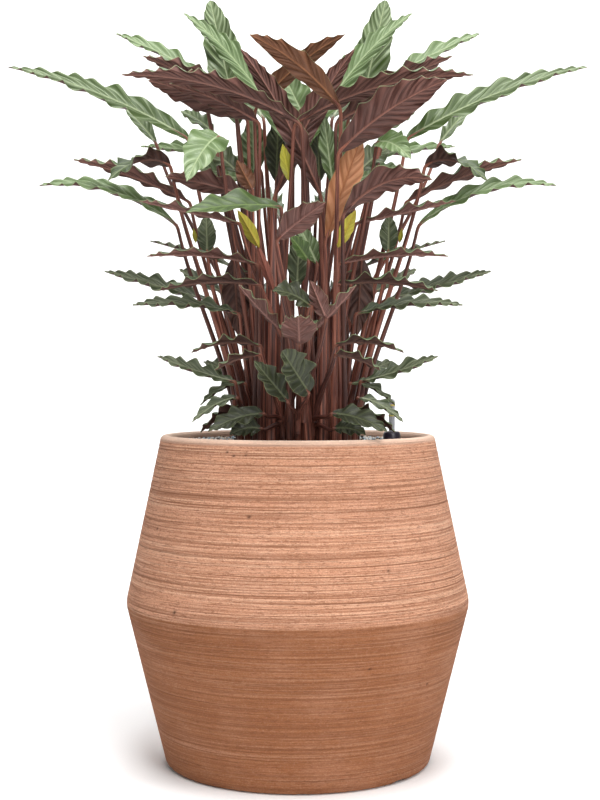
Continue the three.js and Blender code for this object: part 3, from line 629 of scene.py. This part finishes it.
def comb_lines(angle, height, pitch, draw):
    """How deep the comb's lines are, from 0 to 1, over a grid of angles and heights."""
    cut = np.zeros((len(height), len(angle)))
    z = BASE_ROUNDING + COMB_MARGIN
    while z < POT_HEIGHT - WALL:
        deep = draw.random() < DEEP_LINES[0 if z > RIDGE_HEIGHT else 1]
        share = draw.uniform(0.7, 1.0) if deep else draw.uniform(0.15, 0.5)
        wide = draw.uniform(0.8, 1.15) if deep else draw.uniform(0.6, 1.0)
        wander = draw.uniform(0.2, 0.9) * np.sin(angle + draw.uniform(0, FULL_TURN))
        fade = 0.62 + 0.38 * np.sin(draw.integers(1, 4) * angle + draw.uniform(0, FULL_TURN))
        off = (height[:, None] - z - wander[None, :]) / wide
        line = np.where(np.abs(off) < 3, np.exp(-off ** 2), 0) * fade * share
        cut = np.maximum(cut, line)
        z += pitch * draw.uniform(0.45, 1.7)
    return cut


def clay_pits(angle, height):
    """How deep the pits are, from 0 to 1, over a grid of angles and heights."""
    deepest = np.zeros((len(height), len(angle)))
    for degrees, z, size in PITS:
        away = (angle - math.radians(degrees - 90) + math.pi) % FULL_TURN - math.pi
        distance = np.hypot(away[None, :] * outer_radius(height)[:, None], height[:, None] - z)
        deepest = np.maximum(deepest, np.exp(-(distance / size) ** 2))
    return deepest


def cut_notches(rings):
    """Raises the foot's low points to the tops of the notches."""
    x, y, z = np.moveaxis(rings, -1, 0)
    lift = np.zeros(z.shape)
    for degrees, width, high, inward in NOTCHES:
        turn = math.radians(degrees)
        reach = x * math.sin(turn) - y * math.cos(turn) - (BASE_RADIUS - inward)
        across = x * math.cos(turn) + y * math.sin(turn)
        side = np.clip((width / 2 - np.abs(across)) / NOTCH_SLOPE, 0, 1)
        lift = np.maximum(lift, high * side * np.clip(reach / NOTCH_SLOPE, 0, 1))
    rings[..., 2] = np.where(z < NOTCH_LIMIT, np.maximum(z, lift), z)


class CALATHEA_OT_pot(bpy.types.Operator):
    """Builds the combed terracotta planter"""

    bl_idname = "calathea.pot"
    bl_label = "Build pot"

    def execute(self, context):
        pot = context.scene.calathea.pot
        profile, first, last = pot_profile()
        rings = lathe_rings(profile, POT_SEGMENTS)
        angle = np.linspace(0, FULL_TURN, POT_SEGMENTS, endpoint=False)
        height = rings[first:last, 0, 2].copy()
        cut = comb_lines(angle, height, pot.groove_pitch / MM, np.random.default_rng(SEED))
        pits = clay_pits(angle, height)
        form = np.zeros(rings.shape[:2] + (4,))
        # How deep the comb cut, which the material paints as shade.
        form[first:last, :, 0] = cut
        middle, reach = RIM_HIGHLIGHT_BAND
        row = np.arange(len(rings))[:, None]
        form[..., 1] = np.clip(1 - np.abs(row - last - middle) / reach, 0, 1) ** 0.7
        form[first:last, :, 2] = pits
        # Above the ridge; below it the material paints shade on the lower cone.
        form[..., 3] = np.clip((rings[..., 2] - RIDGE_HEIGHT + 3) / 3, 0, 1)
        depth = cut * (pot.groove_depth / MM) + PIT_DEPTH * pits
        outward = np.stack([np.cos(angle), np.sin(angle), 0 * angle], axis=-1)
        rings[first:last] -= depth[:, :, None] * outward
        cut_notches(rings[:last])
        walk = np.cumsum(np.linalg.norm(np.diff(rings[:, 0], axis=0, prepend=rings[:1, 0]), axis=1))
        place = np.stack(np.broadcast_arrays(angle * RIDGE_RADIUS, walk[:, None]), axis=-1)
        body = shell(rings, place, form)
        piece = make_piece("planter", [body], [terracotta_material(pot)], math.radians(80))
        finish_piece(piece, "terracotta", "pot")
        return {"FINISHED"}


# ---- Soil and granulate ----
GRANULATE_INNER = 98
GRANULATE_TOP = 400.5
GAP = 0.3
SOIL_ROWS = 90
SOIL_SEGMENTS = 240
SOIL_SWELL = 1.4
SOIL_CRUMB = 0.35
GRAIN_CORNERS = 6


def uneven(x, y):
    """A gentle unevenness, from -1 to 1, of the soil's surface."""
    return (np.sin(x * 0.11 + 1.3 * np.sin(y * 0.07)) + np.cos(y * 0.13 + x * 0.05)
            + 0.6 * np.sin(x * 0.31 + y * 0.27)) / 2.6


class CALATHEA_OT_filling(bpy.types.Operator):
    """Builds the soil and the granulate that lies on it"""

    bl_idname = "calathea.filling"
    bl_label = "Build soil and granulate"

    def execute(self, context):
        filling = context.scene.calathea.filling
        draw = np.random.default_rng(SEED + 1)
        edge = inner_radius(SOIL_TOP) - 2 * GAP
        top = [(r, SOIL_TOP - 0.5) for r in np.linspace(1, edge, SOIL_ROWS)]
        down = [(inner_radius(z) - 2 * GAP, z) for z in np.linspace(SOIL_TOP - 4, FLOOR + 4, 24)]
        under = [(edge * 0.9, FLOOR + GAP), (1, FLOOR + GAP)]
        rings = lathe_rings(top + down + under, SOIL_SEGMENTS)
        x, y, z = np.moveaxis(rings[:SOIL_ROWS], -1, 0)
        z += SOIL_SWELL * uneven(x, y) + draw.normal(0, SOIL_CRUMB, x.shape)
        body = shell(rings, rings[..., :2], np.zeros(rings.shape))
        piece = make_piece("soil_surface", [body], [soil_material(filling)], math.radians(180))
        finish_piece(piece, "potting_soil", "soil")

        grains = []
        size = filling.grain_size / MM
        for _ in range(filling.grain_count):
            turn = draw.uniform(0, FULL_TURN)
            radius = math.sqrt(draw.uniform(GRANULATE_INNER ** 2, (edge - size * 0.6) ** 2))
            place = radius * math.cos(turn), radius * math.sin(turn)
            if math.dist(place, GAUGE_PLACE) >= GAUGE_SLEEVE + size * 0.5:
                grains.append(self.grain(place, size * draw.uniform(0.6, 1.2), draw))
        piece = make_piece("granulate_grains", grains, [granulate_material()], math.radians(30))
        finish_piece(piece, "granulate", "granulate")
        return {"FINISHED"}

    @staticmethod
    def grain(place, size, draw):
        """One chipped grain: uneven rings between two small caps."""
        angle = np.linspace(0, FULL_TURN, GRAIN_CORNERS, endpoint=False) + draw.uniform(0, 1)
        reach = np.array([0.35, 0.95, 1.0, 0.4]) * size / 2
        level = np.array([-0.42, -0.18, 0.2, 0.42]) * size * 0.8
        spread = reach[:, None] * draw.uniform(0.8, 1.15, (4, GRAIN_CORNERS))
        x = spread * np.cos(angle)
        y = spread * np.sin(angle) * draw.uniform(0.65, 1.0)
        z = np.broadcast_to(level[:, None], x.shape) + draw.normal(0, 0.05 * size, x.shape)
        tilt = draw.uniform(-0.6, 0.6)
        x, z = x * math.cos(tilt) - z * math.sin(tilt), x * math.sin(tilt) + z * math.cos(tilt)
        lie = SOIL_TOP + draw.uniform(0.6, GRANULATE_TOP - SOIL_TOP - 0.8)
        rings = np.stack([x + place[0], y + place[1], z + lie], axis=-1)
        return shell(rings, rings[..., :2], np.full(rings.shape, draw.random()))


# ---- Water gauge ----
GAUGE_PLACE = (119, 22)
GAUGE_FOOT = 60
GAUGE_COLLAR_TOP = 411
GAUGE_TUBE_FOOT = 380
GAUGE_TUBE_TOP = 452
GAUGE_SLEEVE = 11
GAUGE_TUBE = 3.9
GAUGE_BORE = 2.8
GAUGE_PIN = 1.4
GAUGE_MARKS = (431, 444)
GAUGE_SEGMENTS = 40


def turned_piece(name, profile, material, bored=False):
    """A turned piece about the gauge's axis, from a profile of (radius, height)."""
    rings = lathe_rings(profile, GAUGE_SEGMENTS, GAUGE_PLACE)
    body = shell(rings, rings[..., :2], np.zeros(rings.shape), bored=bored)
    return make_piece(name, [body], [material], math.radians(35))


class CALATHEA_OT_gauge(bpy.types.Operator):
    """Builds the water gauge: collar and sleeve, clear tube with its marks, and pin"""

    bl_idname = "calathea.gauge"
    bl_label = "Build water gauge"

    def execute(self, context):
        gauge = context.scene.calathea.gauge
        black = moulded_material("abs_black_moulded", gauge.collar, (0.35, 1.5, 0.5))
        clear = moulded_material("acrylic_clear_extruded", gauge.tube, (0.12, 1.49, 0.5, 0.55))
        yellow = moulded_material("abs_yellow_moulded", gauge.mark, (0.4, 1.5, 0.5))
        slim, bore, top = GAUGE_SLEEVE - 1, GAUGE_TUBE + 0.3, GAUGE_COLLAR_TOP
        collar = [(bore, GAUGE_FOOT), (slim, GAUGE_FOOT), (slim, SOIL_TOP), (GAUGE_SLEEVE, SOIL_TOP + 1),
                  (GAUGE_SLEEVE, top - 4), (GAUGE_SLEEVE - 0.6, top - 2), (GAUGE_SLEEVE - 1.8, top - 0.6),
                  (GAUGE_SLEEVE - 3.5, top), (GAUGE_TUBE + 1.2, top), (bore, top - 1)]
        finish_piece(turned_piece("gauge_collar", collar, black, True), "gauge_black", "gauge_sleeve")
        top = GAUGE_TUBE_TOP
        tube = [(GAUGE_TUBE * math.cos(a), top - 3 + 3 * math.sin(a)) for a in np.linspace(1.5, 0, 8)]
        tube += [(GAUGE_TUBE, GAUGE_TUBE_FOOT), (GAUGE_BORE, GAUGE_TUBE_FOOT), (GAUGE_BORE, top - 4),
                 (GAUGE_BORE * 0.6, top - 2.5), (0.2, top - 2)]
        finish_piece(turned_piece("gauge_clear_tube", tube, clear), "gauge_clear", "gauge_tube")
        pin = [(0.2, GAUGE_TUBE_FOOT + 4), (GAUGE_PIN, GAUGE_TUBE_FOOT + 4), (GAUGE_PIN, top - 7),
               (GAUGE_PIN * 0.6, top - 5.5), (0.2, top - 5)]
        finish_piece(turned_piece("gauge_float_pin", pin, yellow), "gauge_yellow", "gauge_pin")
        for number, height in enumerate(GAUGE_MARKS):
            band = [(GAUGE_TUBE + 0.02, height - 1.1), (GAUGE_TUBE + 0.35, height - 0.9),
                    (GAUGE_TUBE + 0.35, height + 0.9), (GAUGE_TUBE + 0.02, height + 1.1)]
            mark = turned_piece(f"gauge_mark_{number + 1}", band, yellow, True)
            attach(mark, "root")
        return {"FINISHED"}


# ---- Leafy stems ----
STALK_AROUND = 12
STALK_STEPS = 40
STALK_SLIM = 0.92  # a living stalk's radius under its blade, as a share of the solid's
STALK_SWELL = 0.9  # how much a stalk's skin stands out from its solid at the foot
KNEE_STEPS = (0.3, 0.6)
TUCK_STEPS = (0.03, 0.06, 0.1, 0.15)  # where a stalk's end runs on under the blade
TUCK_DEPTHS = (0.7, 1.0, 1.3, 1.5)
END_RADII = (0.98, 0.95, 0.9, 0.8, 0.65, 0.4)  # over the knee and the tuck, as shares
JOINT_MIDDLE = 0.91
JOINT_REACH = 0.07
JOINT_SWELL = 0.2
BUNDLE_FOOT = 6.2  # a foot over this radius is a bundle of sheaths, ribbed and thick for longer
BUNDLE_RIBS = 7
BUNDLE_TONE = 0.3
BUNDLE_FURROW = 0.14
RIB_HALF_WIDTH = 1.3
RIB_COLUMNS = (0.5, 1.0, 1.7)
RIB_HEIGHT = 1.5
ROW_STEP = 1.6
COLUMN_STEP = 2.2
COLUMN_CROWDING = 0.92
VEIN_REACH = 2.0  # how far towards the tip a side vein runs for each millimetre across
VEIN_REACH_MOST = 0.2
MARGIN_SHARE = 0.96
HALF_WIDTH_LEAST = 0.45
FULL_RUFFLE_WIDTH = 38  # blades that are slimmer have lower ruffles and pleats
NICK = 1.2  # the higher, the rounder a lobe and the sharper the nicks beside it
RUFFLE_GROWTH = 2.2  # how late, from the rib out, the ruffles rise
RUFFLE_SPREAD = 0.06
WAVE_KEPT = 0.45  # share of the solids' broad waves that the ruffles leave
HEEL_THICKNESS = 0.4
UPPER_FACE = (0.85, 0.4)  # how much deeper a face's colour gets towards the heel, and its roughness
UNDERSIDE = (0.5, 0.55)


def seen(place):
    """The real place, in millimetres, of a point that is seen at (across, up) with the given depth."""
    across, up, depth = place
    spread = 1 + depth / EYE_DISTANCE
    return np.array([across * spread, depth, EYE_HEIGHT + (up - EYE_HEIGHT) * spread])


def unit(vectors):
    return vectors / np.linalg.norm(vectors, axis=-1, keepdims=True)


def bezier(points, t):
    """Points of a Bezier curve of any degree at the shares t."""
    t = np.atleast_1d(t)[:, None]
    level = [np.broadcast_to(p, (len(t), 3)) for p in points]
    while len(level) > 1:
        level = [a * (1 - t) + b * t for a, b in zip(level, level[1:])]
    return level[0]


def bezier_tangent(points, t):
    return unit(bezier([b - a for a, b in zip(points, points[1:])], t))


def leaf_curves(leaf, root):
    """Control points of a leaf's stalk and of its blade."""
    heel, tip = seen(leaf.heel), seen(leaf.tip)
    bend = heel + (tip - heel) * BEND_SHARE + np.array([0, 0, 2 * leaf.arch])
    reach = np.linalg.norm(heel - root)
    approach = unit(unit(heel - root) + np.array([0, 0, 0.5]))
    rise = np.array([0, 0, max(reach * STALK_PULL, STALK_RISE)])
    return (root, root + rise, heel - approach * reach * STALK_PULL, heel), (heel, bend, tip)


def face_normal(tangent, lean):
    """The direction of a blade's upper face, square to its middle line, by its lean in degrees."""
    lean = np.radians(lean) + 0 * tangent[:, 0]
    normal = np.stack([0 * lean, -np.sin(lean), np.cos(lean)], axis=-1)
    return unit(normal - tangent * np.sum(normal * tangent, axis=1, keepdims=True))


def blade_frame(leaf, blade, u):
    """Points of a blade's middle line at the shares u, with the directions of its upper face and its side."""
    flat = u.ravel()
    tangent = bezier_tangent(blade, flat)
    normal = face_normal(tangent, leaf.lean[0] + (leaf.lean[1] - leaf.lean[0]) * flat)
    side = np.cross(tangent, normal)
    return [part.reshape(u.shape + (3,)) for part in (bezier(blade, flat), normal, side)]


def half_width(leaf, u):
    skew, fullness = OUTLINES[leaf.outline]
    full = np.clip(np.sin(math.pi * np.clip(u, 0, 1) ** skew), 0, 1) ** fullness
    return np.maximum(leaf.width / 2 * full, HALF_WIDTH_LEAST)


def blade_half(leaf, blade, length, hand, v, phase, foliage):
    """One half of a blade, from the midrib out. Its rows follow the side veins, which start at the shares v of
    the midrib, and the pleats and ruffles follow the rows."""
    look = LOOKS[leaf.look]
    web = np.linspace(0, 1, max(5, int(leaf.width / 2 / COLUMN_STEP)) + 1)[1:]
    web = np.concatenate([web[:-1], [MARGIN_SHARE, 1.0]]) ** COLUMN_CROWDING
    share = np.concatenate([np.zeros(1 + len(RIB_COLUMNS)), web])[None, :]
    reach = min(VEIN_REACH * leaf.width / 2 / length, VEIN_REACH_MOST)
    u = v[:, None] + reach * 4 * (v * (1 - v))[:, None] * share
    half = half_width(leaf, u)
    rib = np.minimum(RIB_HALF_WIDTH * (1 - 0.65 * v), half[:, 0] * 0.3)[:, None]
    inner = rib * np.array((0.0, *RIB_COLUMNS))[None, :]
    away = inner[:, -1:] + (half - inner[:, -1:]) * share
    away[:, :inner.shape[1]] = inner
    envelope = np.clip(np.sin(math.pi * u), 0, 1) ** 0.5
    middle, normal, side = blade_frame(leaf, blade, u)

    # The lower edge hangs in round lobes with sharp nicks between them, and so does the upper edge of a blade
    # that shows its top.
    peaks = 1 - 2 * np.abs(np.sin(phase / 2))[:, None] ** NICK
    if hand * side[len(v) // 2, 0, 2] > 0 and leaf.lean[0] > 0:
        peaks = -peaks
    size = min(1.0, leaf.width / FULL_RUFFLE_WIDTH)
    tall = foliage.ruffle_height / MM * look.height * size ** 0.5
    ruffle = tall * envelope * share ** RUFFLE_GROWTH * peaks
    broad = half * WAVE_SHARE * WAVE_KEPT * np.sin(2 * math.pi * leaf.waves * u) * share * hand
    crest = (np.cos(2 * phase) + 0.2 * np.cos(4 * phase))[:, None]
    fold = (1 - np.exp(-(away / (2.0 * RIB_HALF_WIDTH)) ** 2)) * (1 - 0.6 * share ** 4)
    pleats = foliage.pleat_height / MM * min(1.0, look.height)
    relief = pleats * size * envelope * fold * crest
    groove = -0.6 * np.exp(-(away / np.maximum(rib, 0.2)) ** 2) * envelope
    lift = away * math.sin(FOLD) + broad + ruffle + relief + groove
    out = away * math.cos(FOLD) * (1 + RUFFLE_SPREAD * envelope * share ** 4 * peaks)
    thick = foliage.blade_edge / MM + HEEL_THICKNESS * (1 - share)
    drop = RIB_HEIGHT * (1 - 0.7 * v)[:, None] * np.sqrt(np.clip(1 - (away / (rib * 1.25)) ** 2, 0, 1))

    top = middle + side * (hand * out)[..., None] + normal * lift[..., None]
    low = top - normal * (thick + drop)[..., None]
    # High at a pleat's crest, where the material paints sheen, and low in a furrow, where it paints shade.
    tone = 0.5 + 0.5 * np.cos(2 * phase)[:, None] * np.clip(away / (3 * RIB_HALF_WIDTH), 0, 1)
    margin = (share >= 1) + 0 * away
    on_rib = np.clip(1.7 - away / np.maximum(rib, 0.1), 0, 1)
    form = np.stack([tone, margin, on_rib, u], axis=-1)
    run = (2 * phase / FULL_TURN * PLEAT_IN_PATTERN)[:, None] + 0 * away
    return top, low, form, np.stack([run, hand * away], axis=-1)


def blade_shell(leaf, blade, foliage, draw, slot):
    """One blade: pleated between its side veins, ruffled at its edge, with a raised rib underneath. Its upper
    face has the given slot, and its underside the next one."""
    length = np.linalg.norm(np.diff(bezier(blade, np.linspace(0, 1, 20)), axis=0), axis=1).sum()
    v = np.linspace(0.003, 1, max(30, int(length / ROW_STEP)))
    pitch = min(foliage.ruffle_pitch / MM * LOOKS[leaf.look].pitch, length / 4)
    halves = []
    for hand in (1, -1):
        wander = sum(draw.uniform(0.6, 1.8) * np.sin(v * draw.uniform(8, 26) + draw.uniform(0, 6))
                     for _ in range(3))
        phase = FULL_TURN * (v * length + wander) / pitch + draw.uniform(0, FULL_TURN)
        halves.append(blade_half(leaf, blade, length, hand, v, phase, foliage))
    top, low, form, place = [np.concatenate([left[:, :0:-1], right], axis=1) for right, left in zip(*halves)]
    under = form * np.array([-1, 1, 1, 1]) + np.array([1, 0, 0, 0])
    around = [np.concatenate([face, back[:, ::-1]], axis=1)
              for face, back in ((top, low), (place, place), (form, under))]
    on_low = np.arange(2 * top.shape[1]) >= top.shape[1]
    return shell(*around, on_low + slot, on_low)


def stalk_shell(path, radius, joint, ribs, tone):
    """A stalk along a path: round, or ribbed as a bundle of sheaths when ribs isn't 0."""
    tangent = unit(np.gradient(path, axis=0))
    normal = np.zeros_like(path)
    carried = np.array([0.0, -1.0, 0.0])
    for k, along in enumerate(tangent):
        carried = unit(carried - along * carried.dot(along))
        normal[k] = carried
    side = np.cross(tangent, normal)
    turn = np.linspace(0, FULL_TURN, STALK_AROUND * (3 if ribs else 1), endpoint=False)
    furrow = 0.5 - 0.5 * np.cos(ribs * turn)
    depth = np.clip((radius - STALK_RADIUS - 1) / 4, 0, 1)[:, None]
    reach = radius[:, None] * (1 - BUNDLE_FURROW * furrow * depth)
    rings = (path[:, None, :] + side[:, None, :] * (reach * np.cos(turn))[..., None]
             + normal[:, None, :] * (reach * np.sin(turn))[..., None])
    walk = np.concatenate([[0], np.cumsum(np.linalg.norm(np.diff(path, axis=0), axis=1))])
    around = np.minimum(turn, FULL_TURN - turn)
    place = np.stack(np.broadcast_arrays(walk[:, None], radius[:, None] * around), axis=-1)
    # The first form colour marks the furrows between ribs, where the material paints shade.
    form = np.stack(np.broadcast_arrays(furrow ** 3 * depth, joint[:, None], tone), axis=-1)
    return shell(rings, place, form)


def stalk_path(leaf, stalk, blade, foot):
    """The middle line of a stalk, its radius and how near it is to the joint under the blade."""
    s = np.linspace(0, KNEE_START, STALK_STEPS)
    start = bezier(stalk, s)
    knee = bezier((start[-1], blade[0], bezier(blade, KNEE_END)[0]), np.array(KNEE_STEPS))
    u = np.array(TUCK_STEPS)
    normal = face_normal(bezier_tangent(blade, u), leaf.lean[0])
    under = bezier(blade, u) - normal * np.array(TUCK_DEPTHS)[:, None]
    path = np.concatenate([start, knee, under])
    slim = STALK_RADIUS * STALK_SLIM
    root = foot + STALK_SWELL
    radius = np.concatenate([root + (slim - root) * s ** (3 if foot > BUNDLE_FOOT else 1),
                             slim * np.array(END_RADII)])
    joint = np.clip(1 - np.abs(np.linspace(0, 1, len(path)) - JOINT_MIDDLE) / JOINT_REACH, 0, 1)
    return path, radius * (1 + JOINT_SWELL * joint), joint


def root_of(stem):
    return np.array([*stem.root, SOIL_TOP - ROOT_DEPTH], float)


def branch_point(stem, leaf):
    """Where a later leaf's stalk leaves the first one."""
    root = root_of(stem)
    stalk, _ = leaf_curves(stem.leaves[0], root)
    end = bezier(stalk, STALK_FIRST_STEP)[0]
    rise = min(BRANCH_HEIGHT, (seen(leaf.heel)[2] - SOIL_TOP) * BRANCH_SHARE)
    return root + (end - root) * (ROOT_DEPTH + rise) / (end[2] - root[2])


def mirrored(place, shift):
    return -place[0], place[1], place[2] + shift


def all_stems():
    """The table's stems, each mirrored pair as two."""
    found = []
    for name, side, root, foot, shift, *rows in STEMS:
        leaves = [Leaf(*row) for row in rows]
        found.append(Stem(name, "left" if side == "both" else side, root, foot, leaves))
        if side == "both":
            leaves = [leaf._replace(heel=mirrored(leaf.heel, shift), tip=mirrored(leaf.tip, shift))
                      for leaf in leaves]
            found.append(Stem(name, "right", (-root[0], root[1] + shift * SHIFT_AT_ROOT), foot, leaves))
    return found


class CALATHEA_OT_stems(bpy.types.Operator):
    """Builds every leafy stem: stalks, ribbed sheaths and ruffled blades"""

    bl_idname = "calathea.stems"
    bl_label = "Build leafy stems"

    def execute(self, context):
        foliage = context.scene.calathea.foliage
        looks = {}
        for name, look in LOOKS.items():
            faces = (("upper", look.upper, *UPPER_FACE), ("under", look.under, *UNDERSIDE))
            looks[name] = [
                blade_material(f"leaf_{face}_{name}", *map(linear, hues), foliage.margin, share, *finish)
                for (face, hues, *finish), share in zip(faces, look.veins)
            ]
        petiole = petiole_material(foliage)
        for number, stem in enumerate(all_stems()):
            draw = np.random.default_rng(SEED + 10 + number)
            self.make_stem(stem, foliage, looks, petiole, draw)
        return {"FINISHED"}

    @staticmethod
    def make_stem(stem, foliage, looks, petiole, draw):
        """One stem: its leaves with their stalks, then its opened sheaths, in slots by their looks."""
        name = f"{stem.side}_{stem.name}"
        slots, shells = {}, []

        def add_blade(leaf, blade):
            slot = slots.setdefault(leaf.look, 1 + 2 * len(slots))
            shells.append(blade_shell(leaf, blade, foliage, draw, slot))

        for order, leaf in enumerate(stem.leaves):
            stalk, blade = leaf_curves(leaf, branch_point(stem, leaf) if order else root_of(stem))
            foot = BRANCH_RADIUS if order else stem.foot
            ribs = BUNDLE_RIBS if foot > BUNDLE_FOOT else 0
            tone = draw.random() * (BUNDLE_TONE if ribs else 1.0)
            shells.append(stalk_shell(*stalk_path(leaf, stalk, blade, foot), ribs, tone))
            add_blade(leaf, blade)
        for sheath in SHEATHS.get(name, ()):
            sheath = Leaf(*sheath)
            add_blade(sheath, leaf_curves(sheath, root_of(stem))[1])
        materials = [petiole, *(material for look in slots for material in looks[look])]
        piece = make_piece(f"stem_{name}", shells, materials)
        green = stem.leaves[0].lean[0] > 0
        finish_piece(piece, "leaf_green" if green else "leaf_maroon", f"leaf_{name}")


# ---- Stage ----
CAMERA_PLACE = (0.0028, -1.875, 0.490)
CAMERA_AIM = (0.0028, 0.0, 0.451)
BACKDROP_HALF_WIDTH = 8.0
BACKDROP_NEAR = -6.0
BACKDROP_FAR = 3.0
BACKDROP_BEND = 1.2
BACKDROP_TOP = 6.0
# Softboxes: name, place, aim and size in metres; their powers are settings.
SOFTBOXES = (
    ("softbox_overhead", (0.2, -0.7, 2.6), (0, 0, 0.6), 1.3),
    ("softbox_front", (0.9, -2.4, 1.5), (0, 0, 0.5), 1.2),
    ("softbox_backdrop", (0, 2.2, 3.2), (0, 3.9, 0.6), 2.4),
)
WORLD_STRENGTH = 0.3


class CALATHEA_OT_stage(bpy.types.Operator):
    """Sets the pale backdrop, the soft studio lights and the camera"""

    bl_idname = "calathea.stage"
    bl_label = "Set the stage"

    def execute(self, context):
        scene = context.scene
        stage = scene.calathea.stage
        self.backdrop(scene, stage)
        for (name, place, aim, size), power in zip(SOFTBOXES, (stage.key_power, stage.fill_power, stage.back_power)):
            light = bpy.data.lights.new(name, "AREA")
            light.shape = "SQUARE"
            light.size = size
            light.energy = power
            self.put(scene, name, light, place, aim)
        world = bpy.data.worlds.new("studio")
        world.use_nodes = True
        background = world.node_tree.nodes["Background"]
        background.inputs["Color"].default_value = linear("#FFFFFF")
        background.inputs["Strength"].default_value = WORLD_STRENGTH
        scene.world = world

        camera = bpy.data.cameras.new("camera")
        camera.lens = stage.lens
        camera.clip_end = 50
        scene.camera = self.put(scene, "camera", camera, CAMERA_PLACE, CAMERA_AIM)
        scene.view_settings.view_transform = "Standard"
        return {"FINISHED"}

    @staticmethod
    def backdrop(scene, stage):
        """A sheet that runs level under the plant, bends upwards behind it and stands upright."""
        line = [(BACKDROP_NEAR, 0.0), (BACKDROP_FAR, 0.0)]
        line += [(BACKDROP_FAR + BACKDROP_BEND * math.sin(a), BACKDROP_BEND - BACKDROP_BEND * math.cos(a))
                 for a in np.linspace(0, math.pi / 2, 24)[1:]]
        line += [(BACKDROP_FAR + BACKDROP_BEND, BACKDROP_TOP)]
        points = [(x, y, z) for y, z in line for x in (-BACKDROP_HALF_WIDTH, BACKDROP_HALF_WIDTH)]
        faces = [(2 * k, 2 * k + 1, 2 * k + 3, 2 * k + 2) for k in range(len(line) - 1)]
        mesh = bpy.data.meshes.new("backdrop")
        mesh.from_pydata(points, [], faces)
        mesh.materials.append(backdrop_material(stage))
        mesh.shade_smooth()
        sheet = bpy.data.objects.new("backdrop", mesh)
        scene.collection.objects.link(sheet)
        return sheet

    @staticmethod
    def put(scene, name, data, place, aim):
        """Puts a lamp or a camera at a place and aims it."""
        item = bpy.data.objects.new(name, data)
        item.location = place
        item.rotation_euler = (Vector(aim) - Vector(place)).to_track_quat("-Z", "Y").to_euler()
        scene.collection.objects.link(item)
        return item


OPERATORS = (CALATHEA_OT_pot, CALATHEA_OT_filling, CALATHEA_OT_gauge, CALATHEA_OT_stems, CALATHEA_OT_stage)


class CALATHEA_PT_panel(bpy.types.Panel):
    """Lists the calathea's pieces and their settings"""

    bl_idname = "CALATHEA_PT_panel"
    bl_label = "Calathea"
    bl_space_type = "VIEW_3D"
    bl_region_type = "UI"
    bl_category = "Calathea"

    def draw(self, context):
        settings = context.scene.calathea
        groups = (settings.pot, settings.filling, settings.gauge, settings.foliage, settings.stage)
        for operator, group in zip(OPERATORS, groups):
            box = self.layout.box()
            box.operator(operator.bl_idname)
            for name in group.__annotations__:
                box.prop(group, name)


CLASSES = (PotSettings, FillingSettings, GaugeSettings, FoliageSettings, StageSettings, CalatheaSettings,
           *OPERATORS, CALATHEA_PT_panel)


def register():
    for item in CLASSES:
        bpy.utils.register_class(item)
    bpy.types.Scene.calathea = PointerProperty(type=CalatheaSettings)


def unregister():
    del bpy.types.Scene.calathea
    for item in reversed(CLASSES):
        bpy.utils.unregister_class(item)


def main():
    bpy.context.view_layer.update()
    register()
    bpy.ops.calathea.pot()
    bpy.ops.calathea.filling()
    bpy.ops.calathea.gauge()
    bpy.ops.calathea.stems()
    bpy.ops.calathea.stage()


if __name__ == "__main__":
    main()
